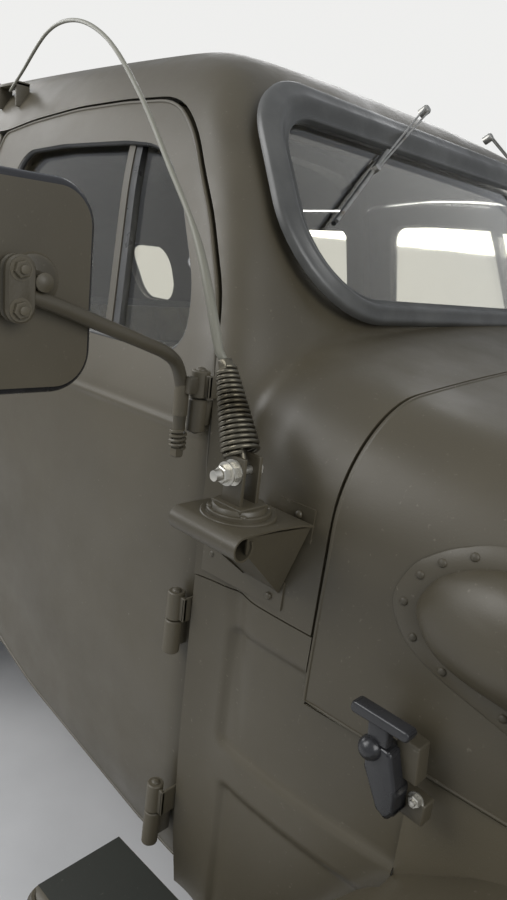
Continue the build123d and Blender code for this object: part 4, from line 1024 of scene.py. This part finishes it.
whip_path = [np.array(start)] + [p for p in whip_path if (Vector(p) - low).length > COIL_END + 22]
taper = np.interp(np.linspace(0, 1, len(whip_path)), [0, 0.03, 0.12, 0.16, 1], [1.3, 1.75, 1.45, 1.0, 0.8])
pair("aerial_whip_rod", tube_mesh(whip_path, WHIP_R, 10, False, taper), "car", grey_steel, 0)

# Mirror: pressed shell with a rubber rim, clamp, ball stud, bent arm with a small spring
MIRROR_X, MIRROR_Y, MIRROR_Z = 812, 1038, 1521
ARM_X, ARM_Y, ARM_R, SPRING_R = 832, 812, 8.5, 9.5


def mirror_outline(grow, steps=10):
    """The mirror's rounded outline as y, z points."""
    w, h = 100 + grow, 113 + grow
    corners = [(MIRROR_Y + a * w, MIRROR_Z + b * h) for a, b in ((-1, -1), (1, -1), (1, 1), (-1, 1))]
    return rounded(corners, 46 + grow, steps)


def mirror_layers(layers):
    """A closed shape through rounded outlines, from (x, grow) rows."""
    rings = [[(x, y, z) for y, z in mirror_outline(grow)] for x, grow in layers]
    count = len(rings[0])
    points = [p for one in rings for p in one]
    faces = grid_faces(len(rings), count, True)
    last = (len(rings) - 1) * count
    centre = len(points)
    points += [(layers[0][0], MIRROR_Y, MIRROR_Z), (layers[-1][0], MIRROR_Y, MIRROR_Z)]
    faces += [((k + 1) % count, k, centre) for k in range(count)]
    faces += [(last + k, last + (k + 1) % count, centre + 1) for k in range(count)]
    return faced(mesh_from(points, faces))


back_section = [(-4, -7), (-1, -9), (1.5, -14), (4, -30), (6.5, -62), (7, -85)]
shell_back = mirror_layers([(MIRROR_X + x, grow) for x, grow in back_section])
pair("mirror_shell", shell_back, "car", olive, 60, "mirrors")
rim_line = [(MIRROR_X - 5, y, z) for y, z in mirror_outline(-7, 12)]
pair("mirror_rim", tube_mesh(rim_line, 8.5, 12, True), "car", black_plastic, 0)
glass_face = mirror_layers([(MIRROR_X - 10, -9), (MIRROR_X - 8, -9)])
pair("mirror_glass", glass_face, "car", silver, 40)
plate = turned_mesh([(0, 0), (0, 27), (2, 29), (5, 27), (7, 20), (10, 11), (18, 9.5), (20, 0)],
                    (MIRROR_X + 5, MIRROR_Y - 26, MIRROR_Z + 8), AHEAD, 24)
stud = turned_mesh([(0, 0), (0, 8), (3, 10), (10, 10), (13, 6), (14, 0)],
                   (MIRROR_X + 22, MIRROR_Y - 26, MIRROR_Z + 8), AHEAD, 16)
clamp_corners = [(MIRROR_Y + y, MIRROR_Z + z) for y, z in ((-17, -34), (15, -34), (15, 34), (-17, 34))]
clamp_outline = rounded(clamp_corners, 15, 8)


def clamp_layer(x0, x1):
    """One jaw of the mirror's clamp."""
    count, middle_y = len(clamp_outline), MIRROR_Y - 1
    rings = []
    for x, g in ((x0, 0.9), (x0 + 2, 1.0), (x1 - 3, 1.0), (x1, 0.86)):
        rings += [(x, middle_y + (y - middle_y) * g, MIRROR_Z + (z - MIRROR_Z) * g)
                  for y, z in clamp_outline]
    return mesh_from(rings, tube_faces(4, count))


jaws = [clamp_layer(MIRROR_X + 14, MIRROR_X + 21), clamp_layer(MIRROR_X + 23, MIRROR_X + 33)]
bolts = [bolt((MIRROR_X + 32, MIRROR_Y, MIRROR_Z + s * 20), AHEAD, 9, 6) for s in (-1, 1)]
ARM_PATH = [
    (MIRROR_X + 22, MIRROR_Y + 6, MIRROR_Z - 2), (MIRROR_X + 22, MIRROR_Y - 40, MIRROR_Z - 14),
    (834, 930, 1484), (836, 872, 1464), (836, 846, 1454), (834, 828, 1442), (832, 817, 1424),
    (ARM_X, ARM_Y, 1400), (ARM_X, ARM_Y, 1352),
]
arm = tube_mesh(smooth_path(ARM_PATH, 7), ARM_R, 14)
sleeve = turned_mesh([(0, 0), (0, 9.5), (40, 9.5), (41, 8), (41, 0)], (ARM_X, ARM_Y, 1372), UP, 18)
link = box_mesh(836, 850, 800, 814, 1402, 1424, 2)
pair("mirror_arm", join([arm, sleeve, link]), "car", olive_rough, 40)
pair("mirror_clamp", join(jaws + bolts + [plate, stud]), "car", olive_rough, 35)
COIL_PITCH, COIL_TURNS = 6, 4
small = [
    (ARM_X + SPRING_R * math.cos(a), ARM_Y + SPRING_R * math.sin(a), 1352 - a / math.tau * COIL_PITCH)
    for a in np.linspace(0, math.tau * COIL_TURNS, 81)
]
cap = turned_mesh([(0, 0), (0, 9), (10, 9), (12, 7), (12, 0)], (ARM_X, ARM_Y, 1328), (0, 0, -1), 6)
core = turned_mesh([(0, 0), (0, 6), (32, 6), (32, 0)], (ARM_X, ARM_Y, 1352), (0, 0, -1), 12)
pair("mirror_arm_spring", join([tube_mesh(small, 2.2, 6), cap, core]), "car", olive_rough, 40)

# Bonnet blister with its riveted flange
BLISTER = [
    (1154, 1243), (1166, 1281), (1186, 1303), (1216, 1321), (1260, 1333), (1360, 1340), (1470, 1330),
    (1560, 1300), (1612, 1250), (1616, 1195), (1575, 1150), (1500, 1120), (1420, 1114), (1345, 1134),
    (1284, 1154), (1211, 1179), (1172, 1205),
]
BLISTER_HIGH, FLANGE, RIVET_LINE = 46, 27, 12.5


def closed_curve(points, steps):
    """A closed curve through points."""
    points = [np.array(p, float) for p in points]
    count = len(points)
    out = []
    for i in range(count):
        out += curve_steps(*(points[(i + k) % count] for k in (-1, 0, 1, 2)), steps)
    return np.array(out)


def on_bonnet(flat, lift):
    """Points of a bonnet side's x, z plane laid on its skin and lifted along its normal."""
    start = np.stack([flat[:, 0], 0 * flat[:, 0], flat[:, 1]], axis=1)
    p, px, pz = (beside(bonnet_field, start + shift) for shift in ([0, 0, 0], [3.0, 0, 0], [0, 0, 3.0]))
    n = np.cross(px - p, pz - p)
    n /= np.linalg.norm(n, axis=1, keepdims=True)
    n *= np.sign(n[:, 1:2])
    return p + n * lift


edge = closed_curve(BLISTER, 6)
centre = np.array([1330.0, 1236.0])
inward = centre - edge
reach = np.linalg.norm(inward, axis=1, keepdims=True)
rings, lifts = [], []
for inset, lift in ((0, -2), (0, 1.6), (1.5, 2.4), (FLANGE - 3, 2.4), (FLANGE, 2.0)):
    rings.append(edge + inward / reach * inset)
    lifts.append(lift)
dome_edge = edge + inward / reach * FLANGE
for share in np.linspace(0, 1, 19)[1:]:
    rings.append(dome_edge + (centre - dome_edge) * share)
    lifts.append(2.0 + BLISTER_HIGH * (1 - (1 - share) ** 2.4) ** 0.62)
points = np.vstack([on_bonnet(r, l) for r, l in zip(rings, lifts)])
count = len(edge)
blister = faced(mesh_from(points, grid_faces(len(rings), count, True)), MERGE)
pair("bonnet_blister", blister, "bonnet_{}", olive, 60)
studs = []
flange_line = edge + inward / reach * RIVET_LINE
for k in range(0, count, 6):
    place = on_bonnet(flange_line[k : k + 1], 2.2)[0]
    place_out = on_bonnet(flange_line[k : k + 1], 12.2)[0]
    studs.append(rivet(tuple(place), tuple(place_out - place), 5))
pair("blister_rivets", join(studs), "bonnet_{}", olive_rough, 40)

# Bonnet latch: rubber T-handle over a tapering rubber body, with its keeper and bolt
LATCH_Y = 806


def slab(outline, y0, y1, soften):
    """A rounded slab from an x, z outline."""
    return bevelled(prism(outline, y0, y1), soften)


handle = slab(rounded([(1158, 1126), (1230, 1129), (1233, 1141), (1160, 1140)], 5, 3), LATCH_Y - 8,
              LATCH_Y + 10, 2.5)
neck = slab([(1180, 1128), (1205, 1128), (1208, 1104), (1182, 1102)], LATCH_Y - 8, LATCH_Y + 5, 3)
knob = turned_mesh([(14 * math.sin(a), 14 * math.cos(a)) for a in np.linspace(-1.57, 1.57, 13)],
                   (1188, LATCH_Y + 2, 1095), LEFT, 20)
body = slab(rounded([(1178, 1104), (1212, 1102), (1226, 1060), (1228, 1036), (1220, 1024), (1206, 1030),
                     (1184, 1068)], 5, 3), LATCH_Y - 24, LATCH_Y + 4, 4)
pair("latch_rubber", join([handle, neck, knob, body]), "bonnet_{}", black_plastic, 40)
keeper = [slab([(1206, 1116), (1234, 1114), (1238, 1070), (1212, 1070)], 770, 792, 2),
          slab([(1214, 1052), (1250, 1050), (1250, 1024), (1218, 1024)], 766, 786, 2)]
pair("latch_keeper", join(keeper), "bonnet_{}", olive_rough, 40)
pair("latch_bolt", bolt((1238, 784, 1050), LEFT, 7, 6), "bonnet_{}", zinc, 30)

# Wiper pairs on the windscreen: pivot, double arm and blade, as y and height on the screen's plane


def on_screen(y, v, lift):
    """A point over the windscreen's plane."""
    cos_t, sin_t = math.cos(TILT), math.sin(TILT)
    return np.array([SCREEN_X - v * sin_t + lift * cos_t, y, SCREEN_Z + v * cos_t + lift * sin_t])


pivot, holder = on_screen(131, 447, 22), on_screen(385, 272, 20)
across = np.cross(holder - pivot, SCREEN_OUT)
across *= 5 / np.linalg.norm(across)
arms = [tube_mesh([pivot + across * k, holder + across * k * 0.3], 1.9, 8) for k in (-1, 1)]
arms.append(turned_mesh([(-16, 0), (-16, 9), (0, 9), (3, 7), (5, 0)], tuple(pivot), SCREEN_OUT, 20))
arms.append(turned_mesh([(-8, 0), (-8, 6), (4, 6), (4, 0)], tuple(holder), SCREEN_OUT, 12))
spine = [on_screen(315 + (532 - 315) * t, 325 + (162 - 325) * t, 12 + 3 * math.sin(math.pi * t))
         for t in np.linspace(0, 1, 9)]
arms.append(tube_mesh(spine, 3, 8))
pair("wiper_arm", join(arms), "car", bare_steel, 40)
blade = [p - SCREEN_OUT * 7 for p in spine]
pair("wiper_blade", tube_mesh(blade, 4, 8), "car", black_rubber, 40)

# Hoop inside the cab beside the middle pillars
hoop_x = spread([(-58, 18, 4)])
hoop_rays = np.radians(spread([(-22, 0, 10), (0, 54, 34), (54, 90, 12)]))
hoop = skin_grid(cab_field, [(x, math.pi / 2, 640) for x in hoop_x], hoop_rays, CENTRE_Z)
hoop = skin_layer(hoop, len(hoop_x), len(hoop_rays), 44, 36)
pair("cab_hoop", hoop, "car", olive, 50)

# Door handles: a turned neck and a lever
for place, x in (("front", 62), ("rear", -628)):
    p, n = skin_at(cab_field, x, 1268)
    neck = turned_mesh([(-3, 0), (-3, 21), (2, 21), (4, 14), (12, 9), (30, 9), (33, 0)], tuple(p), tuple(n),
                       24)
    tip = p + n * 29
    lever = [tip, tip + np.array([26, 1, -2]), tip + np.array([70, 0, -8]), tip + np.array([104, -3, -12])]
    lever = tube_mesh(smooth_path(lever), 8, 12, False, np.interp(np.linspace(0, 1, 25), [0, 0.1, 0.6, 1],
                                                                  [1.1, 1, 0.8, 0.9]))
    pair(f"door_handle_{place}", join([neck, lever]), f"door_{place}_{{}}", olive_rough, 40)

# Tyres with barred tread, rims' nuts and hub caps
TYRE_HALF = [
    (83, 203), (84, 219), (92, 226), (101, 234), (113, 252), (122, 285), (126, 330), (127, 372), (126, 398),
    (121, 412), (112, 422), (98, 429), (78, 432), (40, 433), (6, 433),
]
LUG = [(6, 422), (6, 445), (84, 445), (104, 436), (121, 408), (122, 396), (110, 408)]
LUGS, LUG_WIDTH = 19, 44


def tyre_mesh():
    """A tyre about the origin with its axle along y."""
    profile = TYRE_HALF + [(-y, r) for y, r in TYRE_HALF[::-1]]
    sides = 76
    points = []
    for k in range(sides):
        a = 2 * math.pi * k / sides
        points += [(r * math.cos(a), y, r * math.sin(a)) for y, r in profile]
    count = len(profile)
    faces = []
    for k in range(sides):
        here, after = k * count, (k + 1) % sides * count
        faces += [(here + i, here + (i + 1) % count, after + (i + 1) % count, after + i)
                  for i in range(count)]
    carcass = mesh_from(points, faces)
    lugs = []
    for side, start in ((-1, 0), (1, 0.5)):
        flat = [(side * y, -r) for y, r in LUG]
        lug = faced(layered(*([(x, y, z) for y, z in flat] for x in (-LUG_WIDTH / 2, LUG_WIDTH / 2))))
        lug = bevelled(lug, 3.5, 2, 0.6)
        for k in range(LUGS):
            lugs.append(moved(lug, Matrix.Rotation(math.tau * (k + start) / LUGS, 4, "Y")))
    beads = [tube_mesh([(r * math.cos(a), side * y, r * math.sin(a))
                        for a in np.linspace(0, math.tau, 72, endpoint=False)],
                       3, 6, True) for side in (-1, 1) for y, r in ((107, 243), (126, 340))]
    return faced(join([carcass] + lugs + beads))


def at_mm(x, y, z):
    """A move by millimetres."""
    return Matrix.Translation((x * MM, y * MM, z * MM))


def around_axle(x, radius, y, angle):
    """A point around the left wheel's axle at x."""
    return (x + radius * math.cos(angle), y, AXLE_Z + radius * math.sin(angle))


TYRE = tyre_mesh()
AXLE_Z, TYRE_Y = 445, 790
NUT_ANGLES = np.radians(np.arange(0, 360, 60))
NUT_CIRCLE, NUT_FACE, CAP_CIRCLE, CAP_FACE = 100, 806, 38, 853
for place, x in (("front", 1570), ("rear", -1110)):
    tyre = moved(TYRE, at_mm(x, TYRE_Y, AXLE_Z))
    nuts = [bolt(around_axle(x, NUT_CIRCLE, NUT_FACE, a), LEFT, 13, 14) for a in NUT_ANGLES]
    cap = turned_mesh([(825, 0), (825, 50), (834, 50), (837, 46), (852, 44), (860, 34), (862, 0)],
                      (x, 0, AXLE_Z), LEFT, 40)
    cap_bolts = [bolt(around_axle(x, CAP_CIRCLE, CAP_FACE, a), LEFT, 4, 3) for a in NUT_ANGLES]
    hub = join(nuts + cap_bolts + [cap])
    body = f"wheel_{place}_{{}}"
    pair(f"tyre_barred_{place}", tyre, body, tyre_rubber, 35, f"tyre_{place}_{{}}")
    pair(f"wheel_nuts_{place}", hub, body, olive_rough, 35)
spare = moved(TYRE, at_mm(-2078, 0, 1130) @ Matrix.Rotation(math.pi / 2, 4, "Z"))
finish_piece(spare, "spare_tyre_barred", "car", tyre_rubber, 35, "spare_tyre")

# Head lamps: bowl, ring, reflector and domed lens
LAMP_X, LAMP_Y, LAMP_Z = 1935, 640, 1090
TAIL_LAMP = (-1702, 880, 868)


def lamp_turn(profile):
    """A turned piece on the left head lamp's axis."""
    return turned_mesh(profile, (LAMP_X, LAMP_Y, LAMP_Z), AHEAD, 48)


bowl = lamp_turn([(-86, 0), (-85, 22), (-78, 45), (-62, 68), (-36, 86), (-6, 95), (36, 96), (36, 90),
                  (0, 88), (-6, 0)])
post = turned_mesh([(925, 34), (931, 34), (935, 22), (1010, 20), (1012, 0)], (LAMP_X - 20, LAMP_Y, 0),
                   UP, 24)
pair("head_lamp_bowl", join([bowl, post]), "car", olive, 40, "headlamps")
ring = lamp_turn([(30, 90), (30, 98), (38, 99), (46, 97), (49, 91), (47, 85), (42, 86), (42, 90)])
pair("head_lamp_ring", ring, "car", olive_rough, 40)
pair("head_lamp_reflector", lamp_turn([(4, 0), (6, 16), (16, 48), (36, 80), (40, 86), (37, 86), (12, 48),
                                       (0, 0)]), "car", silver, 60)
pair("head_lamp_lens", lamp_turn([(41, 86), (47, 84), (53, 66), (57, 40), (58, 0), (54, 0), (53, 40),
                                  (49, 62), (43, 80)]), "car", lens, 60)

# Tail lamps: ring and ribbed lens over the CAD's body
ring = turned_mesh([(-44, 42), (-52, 46), (-56, 44), (-56, 34), (-50, 33)], TAIL_LAMP, AHEAD, 40)
dome = [(-50, 36)] + [(-51 - 6 * math.cos(r / 36 * 1.4) - (k % 2) * 1.5, r)
                      for k, r in enumerate(range(33, 0, -3))] + [(-57, 0), (-50, 0)]
pair("tail_lamp_ring", ring, "car", olive_rough, 40)
pair("tail_lamp_lens", turned_mesh(dome, TAIL_LAMP, AHEAD, 40), "car", red_lens, 30)

# Nose ahead of the bonnet, cast from a point behind it over a half sphere of directions
NOSE_X0, NOSE_X1, NOSE_LOW = 1852, 2035, 741


def nose_field(x, y, z):
    """The bonnet's section cut off by a softly rounded front."""
    front = both(bonnet_field(x, y, z), x - NOSE_X1, 46)
    return both(front, NOSE_LOW - z, 20)


round_rays = np.radians(spread([(-90, -40, 14), (-40, 28, 26), (28, 62, 22), (62, 90, 10)]))
ahead_rays = np.radians(spread([(0, 12, 8), (12, 60, 26), (60, 90, 12)]))
towards, centre = [], np.array([NOSE_X0, 0, 1010.0])
for a in ahead_rays:
    for b in round_rays:
        towards.append((math.sin(a), math.cos(a) * math.cos(b), math.cos(a) * math.sin(b)))
towards = np.array(towards)
nose = cast(nose_field, centre, towards)
nose[:, 1] = np.where(np.abs(towards[:, 1]) < 1e-9, 0, nose[:, 1])
nose_normals = nose - centre
nose_normals /= np.linalg.norm(nose_normals, axis=1, keepdims=True)
nose_normals[:, 1] *= np.abs(towards[:, 1]) > 1e-9
nose = thick(nose, len(ahead_rays), len(round_rays), nose_normals, 14)
flat = rounded([(-320, 800), (320, 800), (320, 1235), (-320, 1235)], 36, 6)
opening = moved(prism(flat, -2100, -1980), Matrix.Rotation(math.pi / 2, 4, "Z"))
nose = carve(nose, [opening])
pair("nose_skin", nose, "car", olive, 40, "nose")
bars = [box_mesh(2012, 2030, y - 6.5, y + 6.5, 798, 1237, 4) for y in np.linspace(-320, 320, 14)[1:-1]]
finish_piece(join(bars), "grille_bars", "car", olive, 40)

# Wings: a rounded top sheet with a rolled outer edge, as in the CAD's paths
FRONT_WING = [(722, 585), (1000, 600), (1200, 900), (1330, 990), (1830, 990), (2060, 820), (2098, 742)]
FRONT_WING_R = [1, 60, 200, 160, 260, 90, 1]
REAR_WING_R = [1, 120, 160, 160, 120, 1]


def open_round(path, radii):
    """An open path with round corners."""
    loop = rounded(list(path) + [(path[-1][0], -4000), (path[0][0], -4000)], radii + [1, 1], 8)
    return [p for p in loop if p[1] > 0]


def wing_sheet(path, y0, y1, thickness=5, drop=56):
    """A wing's top sheet with its outer edge folded down and rolled."""
    line = np.array(path)
    ahead = np.gradient(line, axis=0)
    ahead /= np.linalg.norm(ahead, axis=1, keepdims=True)
    down = np.stack([ahead[:, 1], -ahead[:, 0]], axis=1) * (1 if ahead[0, 0] > 0 else -1)
    section = [(y0, 0.0)] + [(y1 - 22 + 22 * math.sin(a), 22 - 22 * math.cos(a))
                             for a in np.linspace(0, math.pi / 2, 7)]
    section += [(y1, drop - 6), (y1 - 3, drop - 1), (y1 - 8, drop), (y1 - 11, drop - 5),
                (y1 - thickness, drop - 10)]
    section += [(y1 - 22 + 17 * math.sin(a), 22 - 17 * math.cos(a)) for a in np.linspace(math.pi / 2, 0, 7)]
    section += [(y0, float(thickness))]
    points = []
    for (x, z), (dx, dz) in zip(line, down):
        points += [(x + dx * d, y, z + dz * d) for y, d in section]
    return faced(mesh_from(points, tube_faces(len(line), len(section))))


def across_sheet(outline, y0, y1):
    """A side outline of x, z points pushed across the car, with its faces as they come."""
    return layered([(x, y0, z) for x, z in outline], [(x, y1, z) for x, z in outline])


def plan_cutter(outline, z0, z1):
    """A plan outline of x, y points as a mesh to cut with."""
    return moved(prism(outline, -z1, -z0), Matrix.Rotation(math.pi / 2, 4, "X"))


front_line = open_round(FRONT_WING, FRONT_WING_R)
front = wing_sheet(front_line, 450, 950)
slant = plan_cutter([(600, 700), (708, 722), (808, 965), (600, 965)], 400, 700)
under_cab = block(600, 1214, 0, 778, 400, 1200)
nose_side = block(1840, 2200, 0, 490, 500, 1200)
front = carve(front, [slant, under_cab, nose_side])
pair("front_wing_sheet", front, "car", olive, 40, "front_wings")
side_path = [(1213, 752), (1400, 727), (1846, 480)]
wall_top = [edge_z(x) - 7 for x, y in side_path]
walls = []
for (x0, y0), (x1, y1), t0, t1 in zip(side_path, side_path[1:], wall_top, wall_top[1:]):
    low0 = np.interp(x0, [x for x, z in front_line], [z for x, z in front_line]) - 4
    low1 = np.interp(x1, [x for x, z in front_line], [z for x, z in front_line]) - 4
    walls.append(quad_sheet([(x0, y0, low0), (x1, y1, low1), (x1, y1, t1), (x0, y0, t0)], (0, -1, 0), 16))
inner = [p for p in front_line if 1222 < p[0] < 1836]
walls.append(across_sheet([(1222, 700)] + inner + [(1836, 700)], 450, 456))
pair("front_wing_walls", join(walls), "car", olive_rough, 30)
rear_line = open_round(REAR_WING, REAR_WING_R)
rear = wing_sheet(rear_line, 612, 950)
rear_wall = across_sheet([(-1690, 690)] + rear_line + [(-520, 690)], 611, 616)
pair("rear_wing_sheet", join([rear, rear_wall]), "car", olive, 40, "rear_wings")
tread = [(x, z + 0.4) for x, z in front_line if x < 992]
mat = carve(across_sheet(tread + [(x, z - 3) for x, z in tread[::-1]], 779, 930), [slant])
pair("step_tread", mat, "car", step_dark, 30)

# Seats: cushions and backs swell under cloth pressure, on plain painted bases


def settled(mesh, cap, voxel=11):
    """A pad remeshed, blown up a little as cloth, with each point's move capped, and smoothed."""
    pad = linked("pad", mesh)
    remesh = pad.modifiers.new("remesh", "REMESH")
    remesh.mode = "VOXEL"
    remesh.voxel_size = voxel * MM
    start = evaluated(pad)
    pad.modifiers.clear()
    pad.data = start
    cloth = pad.modifiers.new("cloth", "CLOTH")
    cloth.settings.use_pressure = True
    cloth.settings.uniform_pressure_force = 4
    cloth.settings.effector_weights.gravity = 0
    cloth.settings.quality = 4
    for frame_number in range(1, 21):
        bpy.context.scene.frame_set(frame_number)
    swollen = evaluated(pad)
    pad.modifiers.clear()
    bpy.context.scene.frame_set(1)
    before = np.array([v.co for v in start.vertices])
    shift = np.array([v.co for v in swollen.vertices]) - before
    length = np.linalg.norm(shift, axis=1, keepdims=True)
    shift *= np.minimum(1, cap * MM / np.maximum(length, 1e-9))
    start.vertices.foreach_set("co", (before + shift).ravel())
    start.update()
    soft = pad.modifiers.new("soft", "SUBSURF")
    soft.levels = 1
    made = evaluated(pad)
    bpy.data.objects.remove(pad)
    made.materials.clear()
    return made


def channelled(mesh, places, side, depth=5, width=7):
    """Sewn channels at y places, pressed into the faces that look to a side."""
    flat = np.zeros(3 * len(mesh.vertices))
    mesh.vertices.foreach_get("co", flat)
    spots = flat.reshape(-1, 3).copy()
    mesh.vertex_normals.foreach_get("vector", flat)
    normals = flat.reshape(-1, 3)
    facing = np.maximum(0, normals @ np.array(side) - 0.2)
    dip = sum(np.exp(-(((spots[:, 1] / MM - y) / width) ** 2)) for y in places)
    spots -= normals * (dip * depth * MM * np.minimum(1, 2 * facing))[:, None]
    mesh.vertices.foreach_set("co", spots.ravel())
    mesh.update()
    return mesh


def piping(mesh, outline, y, radius=5.5):
    """A sewn cord that follows a pad's edge, laid on its nearest surface."""
    tree_of = BVHTree.FromPolygons([v.co for v in mesh.vertices], [p.vertices for p in mesh.polygons])
    line = []
    for a, b in zip(outline, outline[1:] + outline[:1]):
        for t in np.linspace(0, 1, max(2, int(math.dist(a, b) / 14)), endpoint=False):
            x, z = a[0] + (b[0] - a[0]) * t, a[1] + (b[1] - a[1]) * t
            spot = tree_of.find_nearest(Vector((x * MM, y * MM, z * MM)))[0]
            line.append(np.array(spot) / MM)
    return tube_mesh(line, radius, 8, True)


CUSHION = [(282, 782), (764, 788), (768, 884), (420, 866), (300, 862)]
BACK = [(276, 880), (384, 896), (246, 1382), (168, 1366)]
BENCH_CUSHION = [(-506, 806), (-142, 812), (-144, 914), (-500, 892)]
BENCH_BACK = [(-676, 900), (-532, 902), (-648, 1386), (-680, 1380)]
PADS = [
    ("seat_cushion", CUSHION, 120, 590, (0.05, 0, 1), [214, 308, 402, 496], "pair"),
    ("seat_back", BACK, 120, 590, (1, 0, 0.28), [214, 308, 402, 496], "pair"),
    ("bench_cushion", BENCH_CUSHION, -578, 578, (0.05, 0, 1),
     [-480, -360, -240, -120, 0, 120, 240, 360, 480], ""),
    ("bench_back", BENCH_BACK, -578, 578, (1, 0, 0.25), [-480, -360, -240, -120, 0, 120, 240, 360, 480],
     ""),
]
for name, outline, y0, y1, facing, channels, kind in PADS:
    shape = slab(outline, y0 + 8, y1 - 8, 24)
    shape = channelled(settled(shape, 22), channels, facing)
    cords = [piping(shape, outline, y) for y in (y0 + 10, y1 - 10)]
    if kind:
        pads = pair(name, shape, "car", seat_cloth, 60)
        pair(name + "_piping", join(cords), "car", seat_piping, 0)
    else:
        pads = [finish_piece(shape, name, "car", seat_cloth, 60)]
        finish_piece(join(cords), name + "_piping", "car", seat_piping, 0)
seat_frame = [slab([(302, 616), (698, 616), (698, 728), (770, 768), (770, 782), (290, 778), (302, 740)],
                   116, 594, 6)]
seat_frame.append(slab([(240, 800), (262, 800), (172, 1360), (156, 1360)], 126, 584, 6))
pair("seat_frame", join(seat_frame), "car", chassis_paint, 40, "seats")
bench_frame = [slab([(-506, 616), (-214, 616), (-214, 758), (-136, 790), (-140, 806), (-506, 806)], -584,
                    584, 6),
               slab([(-688, 792), (-676, 792), (-676, 1380), (-688, 1380)], -580, 580, 4)]
finish_piece(join(bench_frame), "bench_frame", "car", chassis_paint, 40)

# Camera, light and floor
LENS_MM = 27.3
ROLL, PITCH, AZIMUTH = math.radians(6.6), math.radians(15.6), math.radians(43.8)
EYE = (1.4989, -1.3629, 1.5763)

level = Vector((-math.sin(AZIMUTH), math.cos(AZIMUTH), 0))
right = Vector((math.cos(AZIMUTH), math.sin(AZIMUTH), 0))
ahead = level * math.cos(PITCH) - Vector(UP) * math.sin(PITCH)
down = -level * math.sin(PITCH) - Vector(UP) * math.cos(PITCH)
axis_x = right * math.cos(ROLL) - down * math.sin(ROLL)
axis_y = -(right * math.sin(ROLL) + down * math.cos(ROLL))
turn = Matrix((axis_x, axis_y, -ahead)).transposed().to_4x4()
data = bpy.data.cameras.new("photo_camera")
data.lens = LENS_MM
data.clip_start = 0.02
camera = linked("photo_camera", data)
camera.matrix_world = Matrix.Translation(EYE) @ turn
bpy.context.scene.camera = camera
bpy.context.scene.view_settings.view_transform = "Standard"

world = bpy.data.worlds.new("studio")
world.use_nodes = True
bpy.context.scene.world = world
tree = world.node_tree
sky = tree.nodes["Background"]
seen = tree.nodes.new("ShaderNodeLightPath")
rays_seen = tree.nodes.new("ShaderNodeMath")
rays_seen.operation = "MAXIMUM"
tree.links.new(seen.outputs["Is Camera Ray"], rays_seen.inputs[0])
tree.links.new(seen.outputs["Is Transmission Ray"], rays_seen.inputs[1])
shade = tree.nodes.new("ShaderNodeMix")
shade.data_type = "RGBA"
shade.inputs[6].default_value = (0.42, 0.44, 0.47, 1)
shade.inputs[7].default_value = (0.86, 0.86, 0.85, 1)
tree.links.new(rays_seen.outputs[0], shade.inputs[0])
tree.links.new(shade.outputs[2], sky.inputs["Color"])

floor = mesh_from([(-9000, -9000, 0), (9000, -9000, 0), (9000, 9000, 0), (-9000, 9000, 0)], [(0, 1, 2, 3)])
floor_paint, tree, shader = node_tree("floor_pale")
tree.links.new(ramp(tree, noise(tree, 3), [(0.3, 0.6), (0.7, 0.66)]), shader.inputs["Base Color"])
shader.inputs["Roughness"].default_value = 0.9
floor = finish_piece(floor, "floor", None, floor_paint, 0)

LAMPS = [
    ("window_light", (-1.0, -3.2, 3.4), (0.2, -0.3, 1.2), 2.6, 110),
    ("front_light", (4.2, -1.2, 3.0), (0.9, 0, 1.2), 2.2, 70),
    ("far_light", (-2.6, 3.8, 3.2), (-0.4, 0, 1.0), 3.0, 110),
    ("tail_light", (-4.5, -0.5, 3.0), (-1.0, 0, 1.0), 2.4, 70),
]
for name, place, aim, size, power in LAMPS:
    light = bpy.data.lights.new(name, "AREA")
    light.energy = power
    light.size = size
    lamp = linked(name, light)
    lamp.location = place
    lamp.rotation_euler = (Vector(aim) - Vector(place)).to_track_quat("-Z", "Y").to_euler()
